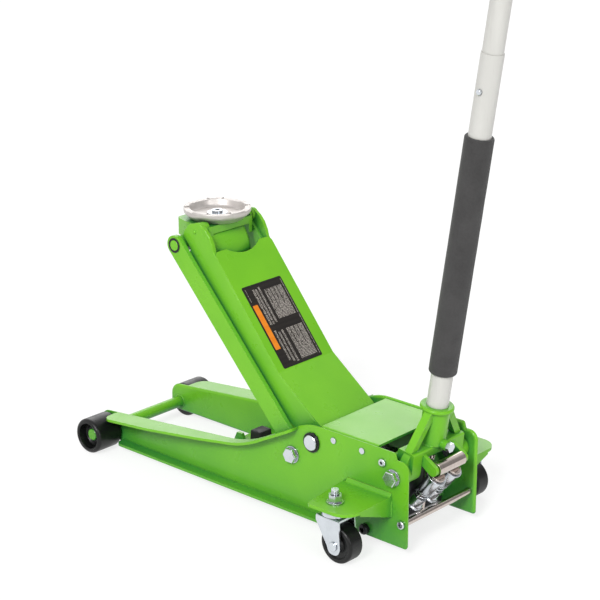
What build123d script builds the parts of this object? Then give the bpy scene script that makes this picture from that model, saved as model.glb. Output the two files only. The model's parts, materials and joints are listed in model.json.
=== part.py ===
"""Low-profile hydraulic floor jack, built from its separate pieces.

X points forward to the front rollers, Y to the jack's left, Z up from the floor.
The origin is on the floor, midway between the front rollers and the top of the handle.
Local X values below are measured from the main pivot of the lift arm.
"""
import os
from math import cos, radians, sin, tan

from build123d import *

os.makedirs("parts", exist_ok=True)

# ---------------------------------------------------------------- clearances
RUN = 0.05  # radial clearance of a shaft that turns or seats in a hole
GAP = 0.3  # clearance between two pieces that only lie close together

# ---------------------------------------------------------------- chassis
chassis_width = 170.8  # outer faces of the side plates
plate_thickness = 5.0
plate_bottom = 12.8
plate_rear = -192.0
plate_top = 164.0  # straight top edge beside the cover plate
shoulder_top = 153.0  # lower rear shoulder beside the handle socket
shoulder_front = -169.0
plate_crest = 8.0  # where the level top edge starts to slope
flange_rear = 30.0
rail_knee = (140.0, 95.2)  # where the sloping top edge turns to the front rail
rail_end = (448.0, 63.2)
bend_radius = 4.5  # inner edge of the rail's folded top flange
nose_reach = 23.0  # how far the plates pass the front axle
flange_thickness = 4.5
top_flange_front = 121.0  # outer edge of the top flange, from the centre plane
top_flange_rear = 103.5
bottom_flange_width = 19.5
bottom_flange_span = (-60.0, 434.0)
bridge_span = (-128.0, -14.0)  # bridge plate between the side plates
bridge_top = plate_top - 0.5
bridge_thickness = 4.0
bridge_skirt = 22.0
rivet_places = ((-44.6, 149.9), (-101.8, 149.3))
rivet_radius = 3.0
rivet_head = 1.5
tab_rear = -132.0  # upright tab beside each end of the pump block's foot
tab_reach = 14.0
tab_span = (31.0, 56.0)
crossmember_x = 207.0
crossmember_length = 92.0
crossmember_height = 35.0
crossmember_thickness = 5.0
buffer_size = 26.0

# ---------------------------------------------------------------- pivots
pivot_height = 134.4  # main pivot of the lift arm
main_shaft_radius = 12.5
main_shaft_end = 91.4
axle_reach = 465.1
axle_radius = 10.0
front_wheel_radius = 30.3
front_wheel_width = 54.0
front_wheel_centre = 113.6
hub_depth = 17.0  # how deep the roller's outer recess is
link_offset = (41.0, -32.0)  # link pivots, measured from the arm pivots
link_bolt_radius = 8.0
socket_pivot = (-162.7, 123.1)
socket_bolt_radius = 7.0
screw_radius = 4.0
tie_rod = (-181.0, 51.5)
tie_rod_radius = 5.5
stop_rod_radius = 6.0
stop_rod = (-142.4, 141.9)

# ---------------------------------------------------------------- lift arm
arm_length = 389.8
arm_angle = 47.5  # raised pose in which the jack is drawn
arm_lowest = -9.5
arm_highest = 55.0
arm_plate_outer = 58.5
arm_plate_thickness = 6.0
arm_bottom = -33.0  # lower edge of the plates, below the pin line
brace_place = (196.0, -17.3)  # flat bar between the plates, along and above the pin line
brace_size = (26.0, 10.0)
cover_half_width = 65.0
cover_thickness = 4.0
cover_lip = 3.0
cover_lip_depth = 15.0
cover_line = ((14.0, 14.0), (124.0, -7.0), (342.0, 5.0))  # top face, along and above the pin line
cover_corner = 9.0
notch_depth = 13.0  # hollow in the cover's upper edge
notch_radius = 62.0
hub_radius = 17.0
arm_pin_radius = 6.0
arm_end_radius = 10.0
arm_neck = -4.0  # top edge of the plates' upper ends, above the pin line
crank_length = 56.0
crank_inner = 28.0
crank_thickness = 8.0
crank_eye_radius = 15.0
crank_pin_end = 40.0
ram_pin_radius = 8.0

# ---------------------------------------------------------------- links, yoke and saddle
link_inner = 70.5
link_thickness = 8.0
link_half_width = 16.3
link_pin_radius = 9.0
link_boss_radius = 13.0
link_ring_thickness = 0.9
yoke_top = 2.0  # top of the table, measured from the arm pin
yoke_table_thickness = 12.8
yoke_depth = 28.0
yoke_wall = 11.0
yoke_rear = -11.5
yoke_front = 73.0
yoke_front_half = 40.0
lug_thickness = 5.0
lug_radius = 9.0
saddle_offset = 20.2  # saddle axis, ahead of the arm pin
saddle_radius = 55.0
saddle_base_radius = 42.0
saddle_height = 20.0
saddle_recess_radius = 46.0
saddle_floor = 8.0
saddle_screw_height = 5.5
screw_washer_radius = 17.0
scallop_count = 5
scallop_depth = 1.6
scallop_width = 39.0
scallop_start = -78.0
stem_radius = 12.0
stem_depth = 17.0
screw_shank_radius = 6.0

# ---------------------------------------------------------------- rear casters
caster_axis = (-110.0, 156.6)
caster_trail = 14.0
caster_wheel_radius = 30.1
caster_wheel_width = 28.8
wing_top = 91.0
wing_thickness = 5.0
wing_outer = 187.0
wing_rear = -160.0
fork_crown_top = 73.0
fork_sheet = 3.5
kingpin_radius = 6.0
caster_axle_radius = 4.0

# ---------------------------------------------------------------- power unit
ram_height = pivot_height - 52.0
ram_radius = 20.0
ram_rear = -74.0
slot_shift = 0.5  # how far the ram's slot sits behind the crank pin
cylinder_radius = 26.0
reservoir_radius = 39.0
reservoir_wall = 4.0
block_front = -108.0
block_heel = -126.0
block_bottom = 16.0
block_top = 112.0
block_half_width = 36.0
ram_bore_depth = 21.0
gland_front = -50.0
gland_thickness = 12.0
unit_bolt = (-110.0, 23.0)
unit_bolt_radius = 5.0
bolt_hole_depth = 12.0
head_half_length = 16.0
head_half_width = 26.0

# ---------------------------------------------------------------- handle socket
handle_lean = 8.49
leg_inner = 40.0
leg_outer = 62.0
boss_radius = 16.5
cross_low = 20.0  # cross block, measured up the handle from the pivot
cross_high = 36.0
cross_half_depth = 15.5
column_radius = 21.0
column_top = 98.0
lip_radius = 26.5
lip_height = 7.0
socket_floor = 38.0
strut_depth = 13.0
strut_front = 4.0  # front face of the struts, ahead of the handle's axis
strut_width = 11.0
strut_foot = (75.0, 12.0)  # from the centre plane, and up the handle
clamp_height = 39.0
clamp_radius = 4.0
clamp_boss_radius = 8.0
clamp_boss_end = 31.0
roller_radius = 11.0
roller_arm = 37.8
roller_angle = 171.0
roller_pin_radius = 5.0
ear_inner = 32.0
ear_thickness = 7.0
ear_radius = 8.5

# ---------------------------------------------------------------- pumps and release valve
pump_tilt = 128.0  # direction in which the plungers point, from forward through up
plunger_spacing = 19.5
plunger_radius = 6.0
plunger_tip = -43.0  # distances along the plungers are measured from the socket pivot
pad_radius = 12.0
pad_thickness = 4.5
sleeve_radius = 9.5
sleeve_length = 13.0
barrel_radius = 11.5
barrel_top = -37.5
barrel_bottom = -68.0
bore_bottom = -79.0
release_shaft_radius = 5.0
release_top = -14.0
release_bottom = -90.0
release_neck_radius = 6.0
joint_radius = 9.0
joint_inner = 6.0
joint_top = 14.0
joint_bottom = 1.0

# ---------------------------------------------------------------- handle
handle_radius = 17.0
handle_wall = 1.3
handle_joint = 649.0
handle_top = 1200.0
spigot_start = 575.0
grip_span = (152.2, 526.2)
grip_radius = 21.9
button_place = 594.0
button_radius = 4.0
button_proud = 4.0
cap_thickness = 4.0

# ---------------------------------------------------------------- places that follow from the sizes
outer_face = chassis_width / 2
inner_face = outer_face - plate_thickness
upper_radius = handle_radius - handle_wall - RUN
lean = radians(handle_lean)
handle_rear = -socket_pivot[0] + (handle_top + cap_thickness) * sin(lean) + handle_radius * cos(lean)
wheel_front = axle_reach + front_wheel_radius
main_pivot_x = (handle_rear - wheel_front) / 2

axle_z = front_wheel_radius
wheel_inner = front_wheel_centre - front_wheel_width / 2
hub_face = front_wheel_centre + front_wheel_width / 2 - hub_depth
axle_end = hub_face + 7
link_foot = (link_offset[0], pivot_height + link_offset[1])
link_pin_end = inner_face - 2 * GAP
hub_half = cover_half_width - cover_lip
lug_outer = arm_plate_outer - arm_plate_thickness - 0.5
crank_angle = -90.0 + arm_angle - (arm_lowest + arm_highest) / 2
crank_pin = (crank_length * cos(radians(crank_angle)), crank_length * sin(radians(crank_angle)))
pump_swing = radians(roller_angle - pump_tilt)
pump_offset = roller_arm * (1 + sin(pump_swing)) / 2
pad_top = roller_arm * cos(pump_swing) - roller_radius - GAP


# ---------------------------------------------------------------- working planes
def side_plane(y):
    """Upright plane along the jack; its normal points to the right."""
    return Plane(origin=(main_pivot_x, y, 0), x_dir=(1, 0, 0), z_dir=(0, -1, 0))


def plan_plane(z):
    """Level plane; local X from the main pivot, local Y to the left."""
    return Plane(origin=(main_pivot_x, 0, z), x_dir=(1, 0, 0), z_dir=(0, 0, 1))


def cross_plane(x):
    """Upright plane across the jack; local X to the left, local Y up."""
    return Plane(origin=(main_pivot_x + x, 0, 0), x_dir=(0, 1, 0), z_dir=(1, 0, 0))


def arm_plane(y):
    """Plane along the lift arm; local X runs up the pin line, local Y above it."""
    angle = radians(arm_angle)
    return Plane(
        origin=(main_pivot_x, y, pivot_height),
        x_dir=(cos(angle), 0, sin(angle)),
        z_dir=(0, -1, 0),
    )


def arm_pin_place():
    angle = radians(arm_angle)
    return arm_length * cos(angle), pivot_height + arm_length * sin(angle)


def yoke_plane(y):
    """Upright plane with its origin at the arm's upper pin."""
    x, z = arm_pin_place()
    return Plane(origin=(main_pivot_x + x, y, z), x_dir=(1, 0, 0), z_dir=(0, -1, 0))


def saddle_plane(z):
    """Level plane on the saddle's axis, z above the arm's upper pin."""
    x, pin_z = arm_pin_place()
    return Plane(origin=(main_pivot_x + x + saddle_offset, 0, pin_z + z))


def handle_plane(distance):
    """Plane square to the handle; local X forward, local Y to the left."""
    return Plane(
        origin=(
            main_pivot_x + socket_pivot[0] - distance * sin(lean),
            0,
            socket_pivot[1] + distance * cos(lean),
        ),
        x_dir=(cos(lean), 0, sin(lean)),
        z_dir=(-sin(lean), 0, cos(lean)),
    )


def handle_side_plane(y):
    """Upright plane along the handle; local X forward, local Y up the handle."""
    return Plane(
        origin=(main_pivot_x + socket_pivot[0], y, socket_pivot[1]),
        x_dir=(cos(lean), 0, sin(lean)),
        z_dir=(0, -1, 0),
    )


def handle_cross_plane(forward):
    """Plane across the socket; local X to the left, local Y up the handle."""
    return Plane(
        origin=(
            main_pivot_x + socket_pivot[0] + forward * cos(lean),
            0,
            socket_pivot[1] + forward * sin(lean),
        ),
        x_dir=(0, 1, 0),
        z_dir=(cos(lean), 0, sin(lean)),
    )


def pump_point(lateral, axial):
    """Local X and height of a point beside and along the plungers' direction."""
    tilt = radians(pump_tilt)
    x = socket_pivot[0] + axial * cos(tilt) - lateral * sin(tilt)
    z = socket_pivot[1] + axial * sin(tilt) + lateral * cos(tilt)
    return x, z


def pump_plane(axial):
    """Plane square to the plungers, centred between them."""
    tilt = radians(pump_tilt)
    x, z = pump_point(pump_offset, axial)
    return Plane(
        origin=(main_pivot_x + x, 0, z),
        x_dir=(sin(tilt), 0, -cos(tilt)),
        z_dir=(cos(tilt), 0, sin(tilt)),
    )


# ---------------------------------------------------------------- shared helpers
def write(piece, label):
    """Label a finished piece and write it under its own name."""
    piece.part.label = label
    export_step(piece.part, f"parts/{label}.step")


def mirrored(piece):
    """The same piece for the other side of the jack."""
    with BuildPart() as twin:
        mirror(piece.part, about=Plane.XZ)
    return twin


def ring(plane, outer, inner, height):
    """A flat ring or tube standing on a plane."""
    with BuildPart() as piece:
        with BuildSketch(plane):
            Circle(outer)
            Circle(inner, mode=Mode.SUBTRACT)
        extrude(amount=height)
    return piece


def hex_bolt_pair(place, face, tip, shank_radius, across_flats, head_height, washer_radius):
    """A hexagon bolt through each side plate, its head outside."""
    washer_height = 2.0
    with BuildPart() as bolts:
        with BuildSketch(side_plane(face + washer_height + head_height)):
            with Locations(place):
                RegularPolygon(across_flats / 2, 6, major_radius=False)
        extrude(amount=head_height)
        chamfer(faces().sort_by(Axis.Y)[-1].edges(), 1.0)
        with BuildSketch(side_plane(face + washer_height)):
            with Locations(place):
                Circle(washer_radius)
        extrude(amount=washer_height)
        with BuildSketch(side_plane(face)):
            with Locations(place):
                Circle(shank_radius)
        extrude(amount=face - tip)
        mirror(about=Plane.XZ)
    return bolts


def button_bolt_pair(place, face, tip, shank_radius, head_radius, head_height, key):
    """A domed socket-head screw through each side plate."""
    with BuildPart() as bolts:
        with BuildSketch(side_plane(face + head_height)):
            with Locations(place):
                Circle(head_radius)
        extrude(amount=head_height)
        fillet(faces().sort_by(Axis.Y)[-1].edges(), head_height * 0.45)
        with BuildSketch(side_plane(face + head_height)):
            with Locations(place):
                RegularPolygon(key / 2, 6, major_radius=False)
        extrude(amount=head_height * 0.6, mode=Mode.SUBTRACT)
        with BuildSketch(side_plane(face)):
            with Locations(place):
                Circle(shank_radius)
        extrude(amount=face - tip)
        mirror(about=Plane.XZ)
    return bolts


# ---------------------------------------------------------------- chassis plates
def make_side_plate():
    """Left side plate: web, outward top and bottom flanges, and every pivot hole."""
    nose_x = axle_reach + nose_reach
    slope = (plate_top - rail_knee[1]) / (rail_knee[0] - plate_crest)
    flange_start = (flange_rear, plate_top - slope * (flange_rear - plate_crest))
    with BuildPart() as plate:
        with BuildSketch(side_plane(top_flange_front)):
            with BuildLine():
                FilletPolyline(flange_start, rail_knee, rail_end, radius=220)
                offset(amount=flange_thickness, side=Side.RIGHT)
            make_face()
        extrude(amount=top_flange_front - outer_face + plate_thickness / 2)
        with BuildSketch(plan_plane(0)):
            with BuildLine():
                FilletPolyline(
                    (rail_end[0], inner_face),
                    (rail_end[0], top_flange_front),
                    (335, top_flange_front),
                    (225, 111),
                    (178, top_flange_rear),
                    (flange_rear, top_flange_rear),
                    (flange_rear, inner_face),
                    radius=(0, 18, 120, 120, 120, 9, 0),
                    close=True,
                )
            make_face()
        extrude(amount=2 * plate_top, mode=Mode.INTERSECT)
        with BuildSketch(side_plane(outer_face)):
            with BuildLine():
                FilletPolyline(
                    (plate_rear, plate_bottom),
                    (plate_rear, shoulder_top),
                    (shoulder_front, shoulder_top),
                    (shoulder_front + 3, plate_top),
                    (plate_crest, plate_top),
                    rail_knee,
                    rail_end,
                    (nose_x, rail_end[1] - 4),
                    (nose_x, plate_bottom),
                    radius=(5, 15, 2.5, 5, 90, 220, 60, 20, 17),
                    close=True,
                )
            make_face()
            holes = (
                ((0, pivot_height), main_shaft_radius),
                (link_foot, link_bolt_radius),
                ((axle_reach, axle_z), axle_radius),
                (socket_pivot, socket_bolt_radius),
                (tie_rod, screw_radius),
                (stop_rod, screw_radius),
                (unit_bolt, unit_bolt_radius),
            )
            for place, radius in holes:
                with Locations(place):
                    Circle(radius + RUN, mode=Mode.SUBTRACT)
            with Locations(rivet_places):
                Circle(rivet_radius + RUN, mode=Mode.SUBTRACT)
        extrude(amount=plate_thickness)
        start, end = bottom_flange_span
        with BuildSketch(plan_plane(plate_bottom)):
            with BuildLine():
                FilletPolyline(
                    (start, inner_face + 1),
                    (start, outer_face + bottom_flange_width),
                    (end, outer_face + bottom_flange_width),
                    (end, inner_face + 1),
                    radius=(0, 8, 12, 0),
                    close=True,
                )
            make_face()
        extrude(amount=flange_thickness)
        fillet(rail_bend_edges(edges()), bend_radius)
        with BuildSketch(cross_plane(tab_rear)):
            low, high = tab_span
            with Locations((inner_face - tab_reach / 2, (low + high) / 2)):
                Rectangle(tab_reach, high - low)
        extrude(amount=flange_thickness)
    return plate


def rail_bend_edges(candidates):
    """Inner top edge of the rail, where its flange is folded outwards."""
    chosen = []
    for edge in candidates:
        box = edge.bounding_box()
        on_inner_face = max(abs(box.min.Y - inner_face), abs(box.max.Y - inner_face)) < 0.01
        past_crest = box.min.X > main_pivot_x + plate_crest + 10
        before_nose = box.max.X < main_pivot_x + rail_end[0] + 1
        on_top = box.min.Z > rail_end[1] - 1
        if on_inner_face and past_crest and before_nose and on_top:
            chosen.append(edge)
    return chosen


def make_chassis_cover():
    """Bridge plate between the side plates, with turned-down edges for the rivets."""
    rear, front = bridge_span
    half = inner_face - GAP
    with BuildPart() as cover:
        with BuildSketch(cross_plane(rear)):
            with BuildLine():
                FilletPolyline(
                    (-half, bridge_top - bridge_skirt),
                    (-half, bridge_top),
                    (half, bridge_top),
                    (half, bridge_top - bridge_skirt),
                    (half - bridge_thickness, bridge_top - bridge_skirt),
                    (half - bridge_thickness, bridge_top - bridge_thickness),
                    (-half + bridge_thickness, bridge_top - bridge_thickness),
                    (-half + bridge_thickness, bridge_top - bridge_skirt),
                    radius=(0, 5, 5, 0, 0, 1.5, 1.5, 0),
                    close=True,
                )
            make_face()
        extrude(amount=front - rear)
        with BuildSketch(side_plane(outer_face)):
            with Locations(rivet_places):
                Circle(rivet_radius + RUN)
        extrude(amount=chassis_width, mode=Mode.SUBTRACT)
    return cover


def make_cover_rivets():
    """Four domed rivets that hold the bridge plate."""
    tip = inner_face - GAP - bridge_thickness
    with BuildPart() as rivets:
        with BuildSketch(side_plane(outer_face)):
            with Locations(rivet_places):
                Circle(rivet_radius)
        extrude(amount=outer_face - tip)
        with BuildSketch(side_plane(outer_face + rivet_head)):
            with Locations(rivet_places):
                Circle(rivet_radius + 2)
        extrude(amount=rivet_head)
        mirror(about=Plane.XZ)
    return rivets


def make_front_crossmember():
    """Floor plate between the rails, with an upright lug and the seat of the arm's buffer."""
    half = inner_face - GAP
    base = crossmember_height + crossmember_thickness
    rear = crossmember_x - crossmember_length / 2
    front = crossmember_x + crossmember_length / 2
    with BuildPart() as member:
        with BuildSketch(plan_plane(crossmember_height)):
            with Locations((crossmember_x, 0)):
                RectangleRounded(crossmember_length, 2 * half, 2)
        extrude(amount=crossmember_thickness)
        with BuildSketch(side_plane(3)):
            with BuildLine():
                Polyline(
                    (front - 29, base),
                    (front - 21, base + 18),
                    (front - 10, base + 18),
                    (front - 2, base),
                    close=True,
                )
            make_face()
        extrude(amount=6)
        for far in (half, flange_thickness - half):
            with BuildSketch(side_plane(far)):
                with BuildLine():
                    FilletPolyline(
                        (rear + 2, crossmember_height),
                        (rear + 12, crossmember_height + 14),
                        (front - 12, crossmember_height + 14),
                        (front - 2, crossmember_height),
                        radius=(0, 5, 5, 0),
                        close=True,
                    )
                make_face()
            extrude(amount=flange_thickness)
    return member


def make_arm_buffer():
    """Rubber block on which the brace of the lowered arm rests."""
    lowest = radians(arm_lowest)
    base = crossmember_height + crossmember_thickness
    brace_distance, brace_height = brace_place
    underside = brace_height - brace_size[1] / 2
    centre = brace_distance * cos(lowest) - underside * sin(lowest)
    contact = pivot_height + brace_distance * sin(lowest) + underside * cos(lowest)
    top = contact - buffer_size / 2 * tan(-lowest) - 2 * GAP
    with BuildPart() as buffer:
        with BuildSketch(plan_plane(base)):
            with Locations((centre, 0)):
                RectangleRounded(buffer_size, buffer_size + 6, 4)
        extrude(amount=top - base, taper=3)
        fillet(faces().sort_by(Axis.Z)[-1].edges(), 2)
    return buffer


# ---------------------------------------------------------------- front axle and rollers
def make_front_axle():
    """Round bar that ties the rail ends and carries both rollers."""
    with BuildPart() as axle:
        with BuildSketch(side_plane(axle_end)):
            with Locations((axle_reach, axle_z)):
                Circle(axle_radius)
        extrude(amount=2 * axle_end)
        chamfer(edges().filter_by(GeomType.CIRCLE), 1.2)
    return axle


def make_front_wheel():
    """Left front roller: barrel tread, thin rim and a deep outboard recess."""
    outer = front_wheel_centre + front_wheel_width / 2
    with BuildPart() as wheel:
        with BuildSketch(cross_plane(axle_reach)):
            with BuildLine():
                Polyline(
                    (wheel_inner, axle_z + axle_radius + RUN),
                    (wheel_inner, axle_z + 19),
                    (wheel_inner + 1.5, axle_z + 21),
                    (wheel_inner + 1.5, axle_z + front_wheel_radius - 5),
                )
                RadiusArc(
                    (wheel_inner + 1.5, axle_z + front_wheel_radius - 5),
                    (wheel_inner + 6.5, axle_z + front_wheel_radius),
                    5,
                )
                Line(
                    (wheel_inner + 6.5, axle_z + front_wheel_radius),
                    (outer - 6, axle_z + front_wheel_radius),
                )
                RadiusArc(
                    (outer - 6, axle_z + front_wheel_radius),
                    (outer, axle_z + front_wheel_radius - 6),
                    6,
                )
                Polyline(
                    (outer, axle_z + front_wheel_radius - 6),
                    (outer - 1.5, axle_z + front_wheel_radius - 8),
                    (hub_face + 2, axle_z + front_wheel_radius - 10),
                    (hub_face - 2, axle_z + 17),
                    (hub_face, axle_z + 15),
                    (hub_face, axle_z + axle_radius + RUN),
                    (wheel_inner, axle_z + axle_radius + RUN),
                )
            make_face()
        revolve(axis=Axis((main_pivot_x + axle_reach, 0, axle_z), (0, 1, 0)))
    return wheel


# ---------------------------------------------------------------- rear casters
def make_caster_bracket():
    """Left wing that carries the caster: flat top, rear gusset and root fillet."""
    x, y = caster_axis
    front_root = -66.0
    front_tip = -80.0
    corner = 30.0
    underside = wing_top - wing_thickness
    gusset_foot = 57.0
    gusset_reach = wing_outer - corner
    with BuildPart() as bracket:
        with BuildSketch(plan_plane(underside)):
            with BuildLine():
                FilletPolyline(
                    (front_root, outer_face),
                    (front_tip, wing_outer),
                    (wing_rear, wing_outer),
                    (wing_rear, outer_face),
                    radius=(0, 7, corner, 0),
                    close=True,
                )
            make_face()
            with Locations((x, y)):
                Circle(kingpin_radius + RUN, mode=Mode.SUBTRACT)
        extrude(amount=wing_thickness)
        with BuildSketch(cross_plane(wing_rear)):
            with BuildLine():
                Polyline(
                    (outer_face, gusset_foot),
                    (gusset_reach, underside - 3),
                    (gusset_reach, underside + 1),
                    (outer_face, underside + 1),
                    close=True,
                )
            make_face()
        extrude(amount=flange_thickness)
        root = 7.0
        with BuildSketch(cross_plane(wing_rear)):
            with BuildLine():
                Line((outer_face, wing_top - 1), (outer_face, wing_top + root))
                RadiusArc((outer_face, wing_top + root), (outer_face + root, wing_top), -root)
                Line((outer_face + root, wing_top), (outer_face + root, wing_top - 1))
                Line((outer_face + root, wing_top - 1), (outer_face, wing_top - 1))
            make_face()
        extrude(amount=front_root - wing_rear - 6)
    return bracket


def make_kingpins():
    """Swivel pins of both casters, headed below the fork crowns."""
    head = fork_crown_top - 2 * fork_sheet
    with BuildPart() as pins:
        with BuildSketch(plan_plane(head - 0.2)):
            with Locations(caster_axis):
                Circle(kingpin_radius + 4)
        extrude(amount=fork_sheet - 0.1)
        with BuildSketch(plan_plane(head)):
            with Locations(caster_axis):
                Circle(kingpin_radius)
        extrude(amount=wing_top + 22 - head)
        mirror(about=Plane.XZ)
    return pins


def make_caster_races():
    """Upper bearing cups, fixed under the wings."""
    x, y = caster_axis
    low = fork_crown_top + 6.5
    high = wing_top - wing_thickness
    with BuildPart() as races:
        with BuildSketch(cross_plane(x)):
            with BuildLine():
                Polyline(
                    (y + kingpin_radius + RUN, low + 2),
                    (y + 15, low + 2),
                    (y + 17, low),
                    (y + 21, low),
                    (y + 22.5, low + 2),
                    (y + 19, high),
                    (y + kingpin_radius + RUN, high),
                    close=True,
                )
            make_face()
        revolve(axis=Axis((main_pivot_x + x, y, 0), (0, 0, 1)))
        mirror(about=Plane.XZ)
    return races


def make_caster_nuts():
    """Washer and hexagon nut on each kingpin."""
    with BuildPart() as nuts:
        with BuildSketch(plan_plane(wing_top)):
            with Locations(caster_axis):
                Circle(13)
                Circle(kingpin_radius + RUN, mode=Mode.SUBTRACT)
        extrude(amount=2.5)
        with BuildSketch(plan_plane(wing_top + 2.5)):
            with Locations(caster_axis):
                RegularPolygon(9.5, 6, major_radius=False, rotation=12)
                Circle(kingpin_radius + RUN, mode=Mode.SUBTRACT)
        extrude(amount=11)
        mirror(about=Plane.XZ)
    return nuts


def make_caster_fork():
    """Left caster fork: pressed crown, lower bearing cup and two tapering legs."""
    x, y = caster_axis
    wheel_x = x - caster_trail
    half = caster_wheel_width / 2 + 2 + fork_sheet
    crown_bottom = fork_crown_top - fork_sheet
    with BuildPart() as fork:
        with BuildSketch(side_plane(y + half)):
            with BuildLine():
                FilletPolyline(
                    (x + 21, fork_crown_top),
                    (x + 21, fork_crown_top - 9),
                    (wheel_x + 13, caster_wheel_radius - 2),
                    (wheel_x + 9, caster_wheel_radius - 14),
                    (wheel_x - 9, caster_wheel_radius - 14),
                    (wheel_x - 13, caster_wheel_radius - 2),
                    (x - 24, fork_crown_top - 9),
                    (x - 24, fork_crown_top),
                    radius=(0, 6, 12, 10, 10, 12, 6, 0),
                    close=True,
                )
            make_face()
            with Locations((wheel_x, caster_wheel_radius)):
                Circle(caster_axle_radius + RUN, mode=Mode.SUBTRACT)
        extrude(amount=2 * half)
        fillet(edges().filter_by(Axis.X).sort_by(Axis.Z)[-2:], 4)
        with BuildSketch(cross_plane(wheel_x - 25)):
            with Locations((y, crown_bottom / 2)):
                Rectangle(2 * (half - fork_sheet), crown_bottom)
        extrude(amount=60, mode=Mode.SUBTRACT)
        with BuildSketch(plan_plane(fork_crown_top)):
            with Locations((x, y)):
                Circle(20)
        extrude(amount=6, taper=8)
        with BuildSketch(plan_plane(fork_crown_top + 10)):
            with Locations((x, y)):
                Circle(kingpin_radius + RUN)
        extrude(amount=-14, mode=Mode.SUBTRACT)
    return fork


def make_caster_axle():
    """Axle bolt of the left caster, with its domed head and nut."""
    x, y = caster_axis
    half = caster_wheel_width / 2 + 2 + fork_sheet
    with BuildPart() as axle:
        with BuildSketch(side_plane(y + half + 3)):
            with Locations((x - caster_trail, caster_wheel_radius)):
                Circle(7)
        extrude(amount=3)
        fillet(faces().sort_by(Axis.Y)[-1].edges(), 1.4)
        with BuildSketch(side_plane(y + half)):
            with Locations((x - caster_trail, caster_wheel_radius)):
                Circle(caster_axle_radius)
        extrude(amount=2 * half)
        with BuildSketch(side_plane(y - half)):
            with Locations((x - caster_trail, caster_wheel_radius)):
                RegularPolygon(6.5, 6, major_radius=False)
        extrude(amount=5)
    return axle


def make_caster_wheel():
    """Left caster wheel: rounded tread, dished sides and a wide hub."""
    x, y = caster_axis
    half = caster_wheel_width / 2
    low = caster_wheel_radius + caster_axle_radius + RUN
    rim = 2 * caster_wheel_radius
    with BuildPart() as wheel:
        with BuildSketch(cross_plane(x - caster_trail)):
            with BuildLine():
                Polyline(
                    (y - half - 1.7, low),
                    (y - half - 1.7, low + 6),
                    (y - half + 3, low + 9),
                    (y - half + 3, rim - 9),
                    (y - half, rim - 7),
                    (y - half, rim - 4),
                )
                RadiusArc((y - half, rim - 4), (y - half + 4, rim), 4)
                Line((y - half + 4, rim), (y + half - 4, rim))
                RadiusArc((y + half - 4, rim), (y + half, rim - 4), 4)
                Polyline(
                    (y + half, rim - 4),
                    (y + half, rim - 7),
                    (y + half - 3, rim - 9),
                    (y + half - 3, low + 9),
                    (y + half + 1.7, low + 6),
                    (y + half + 1.7, low),
                    (y - half - 1.7, low),
                )
            make_face()
        revolve(axis=Axis((main_pivot_x + x - caster_trail, 0, caster_wheel_radius), (0, 1, 0)))
    return wheel


# ---------------------------------------------------------------- cross shafts and bolts
def make_main_shaft():
    """Main pivot shaft of the lift arm, proud of both side plates."""
    with BuildPart() as shaft:
        with BuildSketch(side_plane(main_shaft_end)):
            with Locations((0, pivot_height)):
                Circle(main_shaft_radius)
        extrude(amount=2 * main_shaft_end)
        chamfer(edges().filter_by(GeomType.CIRCLE), 1.0)
    return shaft


def make_retaining_rings():
    """Spring rings that hold the main shaft and the front rollers."""
    with BuildPart() as rings:
        with BuildSketch(side_plane(outer_face + GAP + 2.5)):
            with Locations((0, pivot_height)):
                Circle(main_shaft_radius + 3.5)
                Circle(main_shaft_radius, mode=Mode.SUBTRACT)
        extrude(amount=2.5)
        with BuildSketch(side_plane(hub_face + GAP + 2.0)):
            with Locations((axle_reach, axle_z)):
                Circle(axle_radius + 3.5)
                Circle(axle_radius, mode=Mode.SUBTRACT)
        extrude(amount=2.0)
        mirror(about=Plane.XZ)
    return rings


def make_tie_rod():
    """Round spacer between the rear ends of the side plates."""
    with BuildPart() as rod:
        with BuildSketch(side_plane(inner_face)):
            with Locations(tie_rod):
                Circle(tie_rod_radius)
        extrude(amount=2 * inner_face)
    return rod


def make_stop_rod():
    """Round bar against which the handle socket rests when the handle is upright."""
    with BuildPart() as rod:
        with BuildSketch(side_plane(inner_face)):
            with Locations(stop_rod):
                Circle(stop_rod_radius)
        extrude(amount=2 * inner_face)
    return rod


# ---------------------------------------------------------------- power unit
def make_pump_block():
    """Pump body: ram bore, two plunger bores, release bore and mounting foot."""
    ledge = pump_point(pump_offset - 14, barrel_bottom)
    with BuildPart() as block:
        with BuildSketch(side_plane(block_half_width)):
            with BuildLine():
                FilletPolyline(
                    (block_heel, block_bottom),
                    pump_point(pump_offset + 13, bore_bottom + 4),
                    pump_point(pump_offset + 13, barrel_bottom),
                    ledge,
                    (ledge[0], block_top),
                    (block_front, block_top),
                    (block_front, block_bottom),
                    radius=(6, 3, 2, 2, 4, 2, 2),
                    close=True,
                )
            make_face()
        extrude(amount=2 * block_half_width)
        foot_half = inner_face - GAP
        with BuildSketch(side_plane(foot_half)):
            with Locations(unit_bolt):
                RectangleRounded(36, 14, 3)
        extrude(amount=2 * foot_half)
        with BuildSketch(cross_plane(block_front)):
            with Locations((0, ram_height)):
                Circle(ram_radius + RUN)
        extrude(amount=-ram_bore_depth, mode=Mode.SUBTRACT)
        with BuildSketch(pump_plane(barrel_bottom)):
            with Locations((0, plunger_spacing), (0, -plunger_spacing)):
                Circle(plunger_radius + RUN)
        extrude(amount=bore_bottom - barrel_bottom, mode=Mode.SUBTRACT)
        with BuildSketch(handle_plane(release_top)):
            Circle(release_shaft_radius + RUN)
        extrude(amount=release_bottom - release_top, mode=Mode.SUBTRACT)
        for far in (foot_half, bolt_hole_depth - foot_half):
            with BuildSketch(side_plane(far)):
                with Locations(unit_bolt):
                    Circle(unit_bolt_radius + RUN)
            extrude(amount=bolt_hole_depth, mode=Mode.SUBTRACT)
    return block


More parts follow.
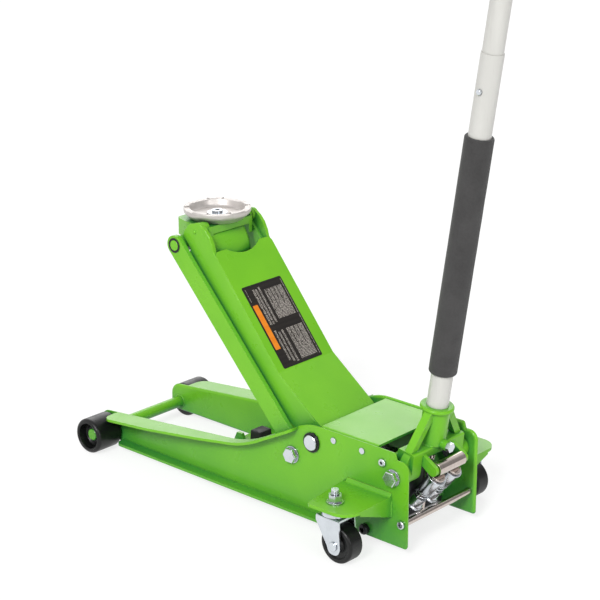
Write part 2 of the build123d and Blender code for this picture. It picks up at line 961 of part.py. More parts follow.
def make_reservoir():
    """Round oil reservoir, clamped between the pump block and the gland."""
    length = gland_front - gland_thickness - block_front
    return ring(
        unit_axis_plane(block_front), reservoir_radius, reservoir_radius - reservoir_wall, length
    )


def unit_axis_plane(x):
    """Plane across the ram, centred on it."""
    return Plane(origin=(main_pivot_x + x, 0, ram_height), x_dir=(0, 1, 0), z_dir=(1, 0, 0))


def make_gland():
    """Front gland of the reservoir, in which the ram slides."""
    with BuildPart() as gland:
        with BuildSketch(unit_axis_plane(gland_front - gland_thickness)):
            Circle(reservoir_radius + 2)
            Circle(ram_radius + RUN, mode=Mode.SUBTRACT)
        extrude(amount=gland_thickness)
    return gland


def make_cylinder():
    """Inner cylinder between block and gland, around the ram."""
    length = gland_front - gland_thickness - block_front
    return ring(unit_axis_plane(block_front), cylinder_radius, ram_radius + RUN, length)


def make_ram():
    """Ram with its slotted head, in which the crank pin rides up and down."""
    head_rear = crank_pin[0] - head_half_length
    with BuildPart() as ram:
        with BuildSketch(unit_axis_plane(head_rear + 1)):
            Circle(ram_radius)
        extrude(amount=-(head_rear + 1 - ram_rear))
        with BuildSketch(side_plane(head_half_width)):
            with Locations((crank_pin[0] - 1, ram_height)):
                RectangleRounded(2 * head_half_length - 2, 50, 5)
            with Locations((crank_pin[0] - slot_shift, ram_height)):
                SlotOverall(26, 2 * ram_pin_radius + 2.4, rotation=90, mode=Mode.SUBTRACT)
        extrude(amount=2 * head_half_width)
    return ram


def make_unit_bolts():
    """Socket-head screws that hold the pump block between the side plates."""
    tip = inner_face - GAP - bolt_hole_depth + 2
    return button_bolt_pair(unit_bolt, outer_face, tip, unit_bolt_radius, 8.5, 9, 8)


def make_pump_barrels():
    """Two short cylinders screwed into the slanted face of the pump block."""
    with BuildPart() as barrels:
        with BuildSketch(pump_plane(barrel_bottom)):
            with Locations((0, plunger_spacing), (0, -plunger_spacing)):
                RegularPolygon(barrel_radius, 6, major_radius=True)
        extrude(amount=8)
        with BuildSketch(pump_plane(barrel_bottom)):
            with Locations((0, plunger_spacing), (0, -plunger_spacing)):
                Circle(barrel_radius - 1.5)
        extrude(amount=barrel_top - barrel_bottom)
        with BuildSketch(pump_plane(barrel_bottom)):
            with Locations((0, plunger_spacing), (0, -plunger_spacing)):
                Circle(plunger_radius + RUN)
        extrude(amount=barrel_top - barrel_bottom, mode=Mode.SUBTRACT)
    return barrels


def make_plunger(side):
    """Pump plunger with its pad and sleeve; side is 1 for the left one and -1 for the right."""
    with BuildPart() as plunger:
        with BuildSketch(pump_plane(pad_top - pad_thickness)):
            with Locations((0, side * plunger_spacing)):
                Circle(pad_radius)
        extrude(amount=pad_thickness)
        fillet(edges(), 1.5)
        with BuildSketch(pump_plane(pad_top - pad_thickness)):
            with Locations((0, side * plunger_spacing)):
                Circle(sleeve_radius)
        extrude(amount=-sleeve_length)
        with BuildSketch(pump_plane(plunger_tip)):
            with Locations((0, side * plunger_spacing)):
                Circle(plunger_radius)
        extrude(amount=pad_top - pad_thickness - plunger_tip)
    return plunger


def make_filler_plug():
    """Oil filler plug on top of the pump block."""
    with BuildPart() as plug:
        with BuildSketch(plan_plane(block_top)):
            with Locations((block_front - 16, 24)):
                RegularPolygon(7, 6, major_radius=False)
        extrude(amount=7)
    return plug


def make_release_valve():
    """Release spindle, with the ball of its universal joint at the handle's pivot."""
    with BuildPart() as valve:
        with BuildSketch(handle_plane(release_bottom + 2)):
            Circle(release_shaft_radius)
        extrude(amount=release_top - release_bottom - 2)
        with BuildSketch(handle_plane(release_top)):
            Circle(3)
        extrude(amount=-release_top)
        with Locations(handle_plane(0)):
            Sphere(5.4)
    return valve


# ---------------------------------------------------------------- handle socket
def make_handle_socket():
    """Cast socket: column, collar, cross block, pivot legs, struts and roller ears."""
    boss_end = inner_face - 0.9
    roller_local = roller_arm_point()
    with BuildPart() as socket:
        with BuildSketch(handle_side_plane(leg_outer)):
            with Locations((0, (cross_low + cross_high) / 2)):
                RectangleRounded(2 * cross_half_depth, cross_high - cross_low, 3)
        extrude(amount=2 * leg_outer)
        for near, far in ((leg_inner, leg_outer), (-leg_outer, -leg_inner)):
            with BuildSketch(handle_side_plane(far)):
                with Locations((0, (cross_low + cross_high) / 2)):
                    RectangleRounded(2 * cross_half_depth, cross_high - cross_low, 3)
                Circle(boss_radius)
                make_hull()
            extrude(amount=far - near)
        for far in (boss_end, -leg_inner):
            with BuildSketch(handle_side_plane(far)):
                Circle(boss_radius)
            extrude(amount=boss_end - leg_inner)
        for far in (ear_inner + ear_thickness, -ear_inner):
            with BuildSketch(handle_side_plane(far)):
                with Locations(roller_local, (1, (cross_low + cross_high) / 2)):
                    Circle(ear_radius - 1)
                with Locations(roller_local):
                    Circle(ear_radius)
                make_hull()
            extrude(amount=ear_thickness)
        with BuildSketch(handle_plane(cross_high - 1)):
            Circle(column_radius)
        extrude(amount=column_top - cross_high + 1)
        with BuildSketch(handle_plane(column_top - lip_height)):
            Circle(lip_radius)
        extrude(amount=lip_height)
        fillet(lip_edges(edges()), 0.45 * lip_height)
        foot_out, foot_up = strut_foot
        ring_bottom = column_top - lip_height
        with BuildSketch(handle_cross_plane(strut_front - strut_depth)):
            for side in (-1, 1):
                with BuildLine():
                    Polyline(
                        (side * foot_out, foot_up - 4),
                        (side * foot_out, foot_up),
                        (side * (lip_radius - 2), ring_bottom + 2),
                        (side * (column_radius - 3), ring_bottom + 2),
                        (side * (column_radius - 3), ring_bottom - strut_width),
                        (side * (foot_out - strut_width), foot_up - 4),
                        close=True,
                    )
                make_face()
        extrude(amount=strut_depth)
        with BuildSketch(handle_cross_plane(0)):
            with Locations((0, clamp_height)):
                Circle(clamp_boss_radius)
        extrude(amount=-clamp_boss_end)
        with BuildSketch(handle_plane(column_top)):
            Circle(handle_radius + RUN)
        extrude(amount=socket_floor - column_top, mode=Mode.SUBTRACT)
        with BuildSketch(handle_plane(column_top)):
            Circle(release_neck_radius + RUN)
        extrude(amount=-column_top, mode=Mode.SUBTRACT)
        with BuildSketch(handle_side_plane(boss_end)):
            Circle(socket_bolt_radius + RUN)
        extrude(amount=boss_end - leg_inner, mode=Mode.SUBTRACT)
        with BuildSketch(handle_side_plane(-leg_inner)):
            Circle(socket_bolt_radius + RUN)
        extrude(amount=boss_end - leg_inner, mode=Mode.SUBTRACT)
        with BuildSketch(handle_side_plane(ear_inner + ear_thickness)):
            with Locations(roller_local):
                Circle(roller_pin_radius + RUN)
        extrude(amount=2 * (ear_inner + ear_thickness), mode=Mode.SUBTRACT)
        with BuildSketch(handle_cross_plane(0)):
            with Locations((0, clamp_height)):
                Circle(clamp_radius + RUN)
        extrude(amount=-clamp_boss_end - 1, mode=Mode.SUBTRACT)
    return socket


def lip_edges(candidates):
    """The two outer circles of the socket's collar."""
    circles = candidates.filter_by(GeomType.CIRCLE)
    return [circle for circle in circles if abs(circle.radius - lip_radius) < 0.01]


def roller_arm_point():
    """Roller centre in the handle's own directions."""
    angle = radians(roller_angle - handle_lean)
    return roller_arm * cos(angle), roller_arm * sin(angle)


def make_clamp_bolt():
    """Screw in the back of the socket that bears on the handle tube."""
    with BuildPart() as bolt:
        with BuildSketch(handle_cross_plane(-clamp_boss_end)):
            with Locations((0, clamp_height)):
                RegularPolygon(7, 6, major_radius=False)
        extrude(amount=-7)
        with BuildSketch(handle_cross_plane(-clamp_boss_end)):
            with Locations((0, clamp_height)):
                Circle(clamp_radius)
        extrude(amount=clamp_boss_end - handle_radius - GAP)
    return bolt


def make_pump_roller():
    """Roller that presses on the plunger pads."""
    with BuildPart() as roller:
        with BuildSketch(handle_side_plane(ear_inner - 2 * GAP)):
            with Locations(roller_arm_point()):
                Circle(roller_radius)
                Circle(roller_pin_radius + RUN, mode=Mode.SUBTRACT)
        extrude(amount=2 * (ear_inner - 2 * GAP))
    return roller


def make_roller_pin():
    """Pin of the pump roller, through both ears."""
    end = ear_inner + ear_thickness
    with BuildPart() as pin:
        with BuildSketch(handle_side_plane(end)):
            with Locations(roller_arm_point()):
                Circle(roller_pin_radius)
        extrude(amount=2 * end)
    return pin


# ---------------------------------------------------------------- handle
def make_release_yoke():
    """Plug and shaft under the handle tube, ending in the prongs of the universal joint."""
    with BuildPart() as yoke:
        with BuildSketch(handle_plane(socket_floor + GAP)):
            Circle(handle_radius - handle_wall)
        extrude(amount=14)
        with BuildSketch(handle_plane(joint_top - 5)):
            Circle(release_neck_radius)
        extrude(amount=socket_floor + GAP - joint_top + 6)
        with BuildSketch(handle_plane(joint_top - 5)):
            Circle(joint_radius)
        extrude(amount=5)
        with BuildSketch(handle_plane(joint_bottom)):
            Circle(joint_radius)
            Circle(joint_inner, mode=Mode.SUBTRACT)
            Rectangle(8, 3 * joint_radius, mode=Mode.INTERSECT)
        extrude(amount=joint_top - 4 - joint_bottom)
    return yoke


def make_lower_tube():
    """Lower half of the handle, held in the socket."""
    with BuildPart() as tube:
        with BuildSketch(handle_plane(socket_floor + GAP)):
            Circle(handle_radius)
            Circle(handle_radius - handle_wall, mode=Mode.SUBTRACT)
        extrude(amount=handle_joint - socket_floor - GAP)
        with BuildSketch(handle_side_plane(handle_radius + 1)):
            with Locations((0, button_place)):
                Circle(button_radius + GAP)
        extrude(amount=handle_radius + 1, mode=Mode.SUBTRACT)
    return tube


def make_upper_tube():
    """Upper half of the handle, sliding into the lower half."""
    with BuildPart() as tube:
        with BuildSketch(handle_plane(spigot_start)):
            Circle(upper_radius)
            Circle(upper_radius - handle_wall, mode=Mode.SUBTRACT)
        extrude(amount=handle_top - spigot_start)
        with BuildSketch(handle_side_plane(handle_radius + 1)):
            with Locations((0, button_place)):
                Circle(button_radius + GAP)
        extrude(amount=handle_radius + 1, mode=Mode.SUBTRACT)
    return tube


def make_grip():
    """Foam sleeve over the lower tube."""
    start, end = grip_span
    return ring(handle_plane(start), grip_radius, handle_radius + RUN, end - start)


def make_handle_cap():
    """Plastic plug in the top of the handle."""
    with BuildPart() as cap:
        with BuildSketch(handle_plane(handle_top)):
            Circle(upper_radius)
        extrude(amount=cap_thickness)
        fillet(edges().filter_by(GeomType.CIRCLE).group_by(Axis.Z)[-1], 1.5)
        with BuildSketch(handle_plane(handle_top)):
            Circle(upper_radius - handle_wall)
        extrude(amount=-18)
    return cap


def make_handle_button():
    """Spring button that locks the two handle tubes together."""
    with BuildPart() as button:
        with BuildSketch(handle_side_plane(handle_radius + button_proud)):
            with Locations((0, button_place)):
                Circle(button_radius)
        extrude(amount=button_proud + 5)
        fillet(faces().sort_by(Axis.Y)[-1].edges(), 1.2)
        with BuildSketch(handle_side_plane(handle_radius - 5)):
            with Locations((0, button_place)):
                Circle(button_radius + 2)
        extrude(amount=3)
    return button


# ---------------------------------------------------------------- lift arm
def cover_height(distance):
    """Height of the arm cover's top face above the pin line."""
    (x0, w0), (x1, w1), (x2, w2) = cover_line
    if distance < x1:
        return w0 + (w1 - w0) * (distance - x0) / (x1 - x0)
    return w1 + (w2 - w1) * (distance - x1) / (x2 - x1)


def arm_local(place):
    """Turn an offset from the main pivot into along-arm and above-arm values."""
    angle = radians(arm_angle)
    x, z = place
    return x * cos(angle) + z * sin(angle), z * cos(angle) - x * sin(angle)


def make_lift_arm():
    """Welded arm: two plates, the pivot hub, the crank for the ram and a cross brace."""
    crank_place = arm_local(crank_pin)
    bend, end = cover_line[1:]
    with BuildPart() as arm:
        with BuildSketch(arm_plane(arm_plate_outer)):
            with BuildLine():
                FilletPolyline(
                    (0, cover_height(0) - cover_thickness),
                    (bend[0], bend[1] - cover_thickness),
                    (end[0] - notch_depth, cover_height(end[0] - notch_depth) - cover_thickness),
                    (end[0], arm_neck),
                    (arm_length, arm_neck),
                    (arm_length, -arm_end_radius),
                    (arm_length - 20, -arm_end_radius),
                    (320, arm_bottom),
                    (62, arm_bottom),
                    (0, 1 - hub_radius),
                    radius=(0, 0, 2, 6, 0, 0, 20, 80, 50, 0),
                    close=True,
                )
            make_face()
            Circle(hub_radius)
            with Locations((arm_length, 0)):
                Circle(arm_end_radius)
        extrude(amount=arm_plate_thickness)
        mirror(about=Plane.XZ)
        with BuildSketch(arm_plane(hub_half)):
            Circle(hub_radius)
        extrude(amount=2 * hub_half)
        for far in (crank_inner + crank_thickness, -crank_inner):
            with BuildSketch(arm_plane(far)):
                Circle(hub_radius)
                with Locations(crank_place):
                    Circle(crank_eye_radius)
                make_hull()
            extrude(amount=crank_thickness)
        with BuildSketch(arm_plane(arm_plate_outer - 1)):
            with Locations(brace_place):
                RectangleRounded(*brace_size, 3)
        extrude(amount=2 * (arm_plate_outer - 1))
        with BuildSketch(arm_plane(hub_half + 1)):
            Circle(main_shaft_radius + RUN)
            with Locations((arm_length, 0)):
                Circle(arm_pin_radius + RUN)
        extrude(amount=2 * (hub_half + 1), mode=Mode.SUBTRACT)
        with BuildSketch(arm_plane(hub_half + 1)):
            with Locations(crank_place):
                Circle(ram_pin_radius + RUN)
        extrude(amount=2 * (hub_half + 1), mode=Mode.SUBTRACT)
    return arm


def make_arm_cover():
    """Folded top plate of the arm, hollowed at its upper end to clear the yoke."""
    inner = cover_half_width - cover_lip
    (x0, w0), (x1, w1), (x2, w2) = cover_line
    with BuildPart() as cover:
        with BuildSketch(arm_plane(cover_half_width)):
            with BuildLine():
                Polyline(
                    (x0, w0),
                    (x1, w1),
                    (x2, w2),
                    (x2, w2 - cover_lip_depth),
                    (x1, w1 - cover_lip_depth),
                    (x0, w0 - cover_lip_depth),
                    close=True,
                )
            make_face()
        extrude(amount=2 * cover_half_width)
        upper_end = faces().sort_by(Axis((0, 0, 0), arm_plane(0).x_dir))[-1]
        fillet(upper_end.edges().filter_by(Axis.Y, reverse=True), cover_corner)
        with BuildSketch(arm_plane(inner)):
            with BuildLine():
                Polyline(
                    (x0 - 5, cover_height(x0 - 5) - cover_thickness),
                    (x1, w1 - cover_thickness),
                    (x2 + 5, cover_height(x2 + 5) - cover_thickness),
                    (x2 + 5, -30),
                    (x0 - 5, -30),
                    close=True,
                )
            make_face()
        extrude(amount=2 * inner, mode=Mode.SUBTRACT)
        with BuildSketch(arm_top_plane(40)):
            with Locations((x2 - notch_depth + notch_radius, 0)):
                Circle(notch_radius)
        extrude(amount=-60, mode=Mode.SUBTRACT)
    return cover


def arm_top_plane(height):
    """Plane over the arm; local X up the pin line, local Y to the left."""
    angle = radians(arm_angle)
    return Plane(
        origin=(main_pivot_x - height * sin(angle), 0, pivot_height + height * cos(angle)),
        x_dir=(cos(angle), 0, sin(angle)),
        z_dir=(-sin(angle), 0, cos(angle)),
    )


def make_crank_pin():
    """Pin of the crank, through the slotted head of the ram."""
    with BuildPart() as pin:
        with BuildSketch(arm_plane(crank_pin_end)):
            with Locations(arm_local(crank_pin)):
                Circle(ram_pin_radius)
        extrude(amount=2 * crank_pin_end)
        chamfer(edges().filter_by(GeomType.CIRCLE), 0.8)
    return pin


# ---------------------------------------------------------------- links, yoke and saddle
def make_link():
    """Left parallel link, from the side plate's bolt to the yoke's pin."""
    low = (link_offset[0], link_offset[1])
    x, z = arm_pin_place()
    high = (x + link_offset[0], z - pivot_height + link_offset[1])
    with BuildPart() as link:
        with BuildSketch(pivot_plane(link_inner + link_thickness)):
            with Locations(low, high):
                Circle(link_half_width)
            make_hull()
            with Locations(low):
                Circle(link_bolt_radius + RUN, mode=Mode.SUBTRACT)
            with Locations(high):
                Circle(link_pin_radius + RUN, mode=Mode.SUBTRACT)
        extrude(amount=link_thickness)
    return link


def pivot_plane(y):
    """Upright plane with its origin at the main pivot."""
    return Plane(origin=(main_pivot_x, y, pivot_height), x_dir=(1, 0, 0), z_dir=(0, -1, 0))


def make_saddle_yoke():
    """Cast yoke that keeps the saddle level: table, skirt, pin lugs and link bosses."""
    table_bottom = yoke_top - yoke_table_thickness
    rear = yoke_rear - saddle_offset
    front = yoke_front - saddle_offset
    with BuildPart() as yoke:
        with BuildSketch(saddle_plane(yoke_top)):
            with BuildLine():
                FilletPolyline(
                    (rear, -lug_outer),
                    (rear, lug_outer),
                    (18, lug_outer),
                    (front, yoke_front_half),
                    (front, -yoke_front_half),
                    (18, -lug_outer),
                    radius=(5, 5, 30, 9, 9, 30),
                    close=True,
                )
            make_face()
        extrude(amount=-yoke_depth)
        with BuildSketch(saddle_plane(table_bottom)):
            with BuildLine():
                FilletPolyline(
                    (rear, yoke_wall - lug_outer),
                    (rear, lug_outer - yoke_wall),
                    (16, lug_outer - yoke_wall),
                    (front - yoke_wall, yoke_front_half - yoke_wall),
                    (front - yoke_wall, yoke_wall - yoke_front_half),
                    (16, yoke_wall - lug_outer),
                    radius=(0, 0, 20, 5, 5, 20),
                    close=True,
                )
            make_face()
        extrude(amount=-yoke_depth, mode=Mode.SUBTRACT)
        for far in (lug_outer, lug_thickness - lug_outer):
            with BuildSketch(yoke_plane(far)):
                Circle(lug_radius)
                with Locations(link_offset):
                    Circle(link_boss_radius + 1)
                make_hull()
            extrude(amount=lug_thickness)
        for far in (link_inner - 0.7, -lug_outer):
            with BuildSketch(yoke_plane(far)):
                with Locations(link_offset):
                    Circle(link_boss_radius)
            extrude(amount=link_inner - 0.7 - lug_outer)
        with BuildSketch(saddle_plane(table_bottom - 8)):
            Circle(stem_radius + 8)
        extrude(amount=9)
        with BuildSketch(saddle_plane(yoke_top)):
            Circle(stem_radius + RUN)
        extrude(amount=-40, mode=Mode.SUBTRACT)
        with BuildSketch(yoke_plane(lug_outer)):
            Circle(arm_pin_radius + RUN)
        extrude(amount=lug_thickness, mode=Mode.SUBTRACT)
        with BuildSketch(yoke_plane(lug_thickness - lug_outer)):
            Circle(arm_pin_radius + RUN)
        extrude(amount=lug_thickness, mode=Mode.SUBTRACT)
        with BuildSketch(yoke_plane(link_inner)):
            with Locations(link_offset):
                Circle(link_pin_radius + RUN)
        extrude(amount=2 * link_inner, mode=Mode.SUBTRACT)
    return yoke


def make_arm_pins():
    """Two short pins that join the yoke to the arm plates."""
    with BuildPart() as pins:
        with BuildSketch(yoke_plane(arm_plate_outer)):
            Circle(arm_pin_radius)
        extrude(amount=arm_plate_outer - lug_outer + lug_thickness)
        mirror(about=Plane.XZ)
    return pins


def make_link_pins():
    """Two pins that join the yoke to the links."""
    with BuildPart() as pins:
        with BuildSketch(yoke_plane(link_pin_end)):
            with Locations(link_offset):
                Circle(link_pin_radius)
        extrude(amount=link_pin_end - 50)
        chamfer(faces().sort_by(Axis.Y)[-1].edges(), 0.8)
        mirror(about=Plane.XZ)
    return pins


def make_link_rings():
    """Spring rings outside the upper ends of the links."""
    near = link_inner + link_thickness + GAP
    with BuildPart() as rings:
        with BuildSketch(yoke_plane(near + link_ring_thickness)):
            with Locations(link_offset):
                Circle(link_pin_radius + 3)
                Circle(link_pin_radius, mode=Mode.SUBTRACT)
        extrude(amount=link_ring_thickness)
        mirror(about=Plane.XZ)
    return rings


def make_saddle():
    """Cast saddle: flared cup with a scalloped rim, on a short stem."""
    base = yoke_top
    rim = base + saddle_height
    pin_x, pin_z = arm_pin_place()
    centre = main_pivot_x + pin_x + saddle_offset
    with BuildPart() as saddle:
        with BuildSketch(Plane(origin=(centre, 0, pin_z), x_dir=(0, 1, 0), z_dir=(1, 0, 0))):
            with BuildLine():
                FilletPolyline(
                    (screw_shank_radius + RUN, base - stem_depth),
                    (screw_shank_radius + RUN, base + saddle_floor),
                    (saddle_recess_radius - 5, base + saddle_floor),
                    (saddle_recess_radius, rim),
                    (saddle_radius, rim),
                    (saddle_radius, rim - 9),
                    (saddle_base_radius, base),
                    (stem_radius, base),
                    (stem_radius, base - stem_depth),
                    radius=(0, 0, 5, 2, 2, 8, 8, 0, 1),
                    close=True,
                )
            make_face()
        revolve(axis=Axis((centre, 0, 0), (0, 0, 1)))
        with BuildSketch(saddle_plane(rim - scallop_depth)):
            with PolarLocations(saddle_radius, scallop_count, start_angle=scallop_start):
                Rectangle(24, scallop_width)
        extrude(amount=scallop_depth, mode=Mode.SUBTRACT)
    return saddle


def make_saddle_screw():
    """Socket screw and washer in the middle of the saddle."""
    base = yoke_top + saddle_floor
    with BuildPart() as screw:
        with BuildSketch(saddle_plane(base)):
            Circle(screw_washer_radius)
        extrude(amount=2)
        with BuildSketch(saddle_plane(base + 2)):
            Circle(9)
        extrude(amount=saddle_screw_height - 2)
        with BuildSketch(saddle_plane(base + saddle_screw_height)):
            RegularPolygon(4, 6, major_radius=False)
        extrude(amount=-4, mode=Mode.SUBTRACT)
        with BuildSketch(saddle_plane(base)):
            Circle(screw_shank_radius)
        extrude(amount=-18)
    return screw


# ---------------------------------------------------------------- all pieces
def main():
    for label, make in (
        ("side_plate", make_side_plate),
        ("caster_bracket", make_caster_bracket),
        ("caster_fork", make_caster_fork),
        ("caster_axle", make_caster_axle),
        ("caster_wheel", make_caster_wheel),
        ("front_wheel", make_front_wheel),
        ("link", make_link),
    ):
        left = make()
        write(left, f"{label}_left")
        write(mirrored(left), f"{label}_right")
    write(make_plunger(1), "pump_plunger_left")
    write(make_plunger(-1), "pump_plunger_right")
    write(make_chassis_cover(), "chassis_cover")
    write(make_cover_rivets(), "cover_rivets")
    write(make_front_crossmember(), "front_crossmember")
    write(make_arm_buffer(), "arm_buffer")
    write(make_front_axle(), "front_axle")
    write(make_kingpins(), "caster_kingpins")
    write(make_caster_races(), "caster_races")
    write(make_caster_nuts(), "caster_nuts")
    write(make_main_shaft(), "main_shaft")
    write(make_retaining_rings(), "retaining_rings")
    write(
        hex_bolt_pair(link_foot, outer_face, link_inner + GAP, link_bolt_radius, 22, 8, 14),
        "link_bolts",
    )
    write(
        hex_bolt_pair(socket_pivot, outer_face, leg_inner + 2, socket_bolt_radius, 22, 9, 13.5),
        "socket_bolts",
    )
    write(make_tie_rod(), "tie_rod")
    write(make_stop_rod(), "stop_rod")
    write(
        button_bolt_pair(tie_rod, outer_face, inner_face, screw_radius, 6.5, 5, 5),
        "tie_rod_screws",
    )
    write(
        button_bolt_pair(stop_rod, outer_face, inner_face, screw_radius, 6.5, 4, 5),
        "stop_rod_screws",
    )
    write(make_pump_block(), "pump_block")
    write(make_unit_bolts(), "unit_bolts")
    write(make_reservoir(), "reservoir")
    write(make_cylinder(), "ram_cylinder")
    write(make_gland(), "ram_gland")
    write(make_ram(), "ram")
    write(make_pump_barrels(), "pump_barrels")
    write(make_filler_plug(), "filler_plug")
    write(make_release_valve(), "release_valve")
    write(make_handle_socket(), "handle_socket")
    write(make_clamp_bolt(), "handle_clamp_bolt")
    write(make_pump_roller(), "pump_roller")
    write(make_roller_pin(), "pump_roller_pin")
    write(make_release_yoke(), "release_yoke")
    write(make_lower_tube(), "handle_lower_tube")
    write(make_upper_tube(), "handle_upper_tube")
    write(make_grip(), "handle_grip")
    write(make_handle_cap(), "handle_cap")
    write(make_handle_button(), "handle_button")
    write(make_lift_arm(), "lift_arm")
    write(make_arm_cover(), "arm_cover")
    write(make_crank_pin(), "crank_pin")
    write(make_saddle_yoke(), "saddle_yoke")
    write(make_arm_pins(), "arm_pins")
    write(make_link_pins(), "link_pins")
    write(make_link_rings(), "link_pin_rings")
    write(make_saddle(), "saddle")
    write(make_saddle_screw(), "saddle_screw")


main()
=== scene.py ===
"""Looks of the hydraulic floor jack: finishes, foam grip, decal, welds, springs, studio and camera.

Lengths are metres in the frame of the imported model: X to the front rollers, Y to the left, Z up.
"""
import json
import math

import bmesh
import bpy
from mathutils import Matrix, Vector, noise


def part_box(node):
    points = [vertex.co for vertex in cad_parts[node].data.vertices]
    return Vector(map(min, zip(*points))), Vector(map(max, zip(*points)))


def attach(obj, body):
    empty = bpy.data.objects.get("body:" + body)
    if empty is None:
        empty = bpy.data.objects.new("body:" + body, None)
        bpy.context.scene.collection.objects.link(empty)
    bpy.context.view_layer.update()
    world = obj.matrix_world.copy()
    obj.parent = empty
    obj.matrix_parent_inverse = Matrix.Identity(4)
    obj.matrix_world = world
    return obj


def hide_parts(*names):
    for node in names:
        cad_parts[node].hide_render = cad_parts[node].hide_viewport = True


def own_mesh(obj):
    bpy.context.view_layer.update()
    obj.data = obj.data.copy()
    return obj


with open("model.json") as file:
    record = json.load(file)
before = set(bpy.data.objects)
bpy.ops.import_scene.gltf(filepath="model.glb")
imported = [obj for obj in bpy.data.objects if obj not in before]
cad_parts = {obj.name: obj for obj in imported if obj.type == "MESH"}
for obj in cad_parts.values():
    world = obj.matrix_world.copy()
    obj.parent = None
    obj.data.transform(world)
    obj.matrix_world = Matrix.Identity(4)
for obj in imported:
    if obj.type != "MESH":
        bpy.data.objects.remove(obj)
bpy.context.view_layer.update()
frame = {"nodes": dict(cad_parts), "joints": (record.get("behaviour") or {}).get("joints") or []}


# ---------------------------------------------------------------- places taken from the frame
def joint(name):
    return next(j for j in frame["joints"] if j["name"] == name)


def centre(node):
    low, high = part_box(node)
    return (low + high) / 2


def half_size(node):
    """Half of a node's box; across a round node's axis this is its radius."""
    low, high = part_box(node)
    return (high - low) / 2


FORWARD = Vector((1, 0, 0))
LEFT = Vector((0, 1, 0))
UP = Vector((0, 0, 1))
PIVOT = Vector(joint("arm_lift")["pos_m"])
ARM_PIN = Vector(joint("yoke_level")["pos_m"])
SOCKET = Vector(joint("pump_handle")["pos_m"])
ROLLER = Vector(joint("pump_roller_spin")["pos_m"])
HANDLE_UP = Vector(joint("handle_twist")["axis"]).normalized()
HANDLE_FRONT = Vector((HANDLE_UP.z, 0, -HANDLE_UP.x))
ARM_ALONG = (ARM_PIN - PIVOT).normalized()
ARM_ABOVE = Vector((-ARM_ALONG.z, 0, ARM_ALONG.x))
PUMP_UP = Vector(joint("plunger_left_stroke")["axis"]).normalized()
BOLT_HEAD = 0.011  # a socket bolt's head and washer, outside its side plate
SIDE_PLATE = 0.005  # sheet thickness
OUTER_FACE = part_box("socket_bolts")[1].y - BOLT_HEAD  # outside of the left side plate
INNER_FACE = OUTER_FACE - SIDE_PLATE


# ---------------------------------------------------------------- shader building
def srgb(red, green, blue):
    """Linear colour, with alpha, of a screen colour given from 0 to 255."""
    linear = []
    for value in (red / 255, green / 255, blue / 255):
        linear.append(((value + 0.055) / 1.055) ** 2.4 if value > 0.04 else value / 12.92)
    return (*linear, 1.0)


def add_node(tree, kind, inputs=None, **settings):
    """Add a shader node; an input is a value or another node's output, by its socket."""
    made = tree.nodes.new(kind)
    for key, value in settings.items():
        setattr(made, key, value)
    for key, value in (inputs or {}).items():
        if isinstance(value, bpy.types.NodeSocket):
            tree.links.new(value, made.inputs[key])
        else:
            made.inputs[key].default_value = value
    return made


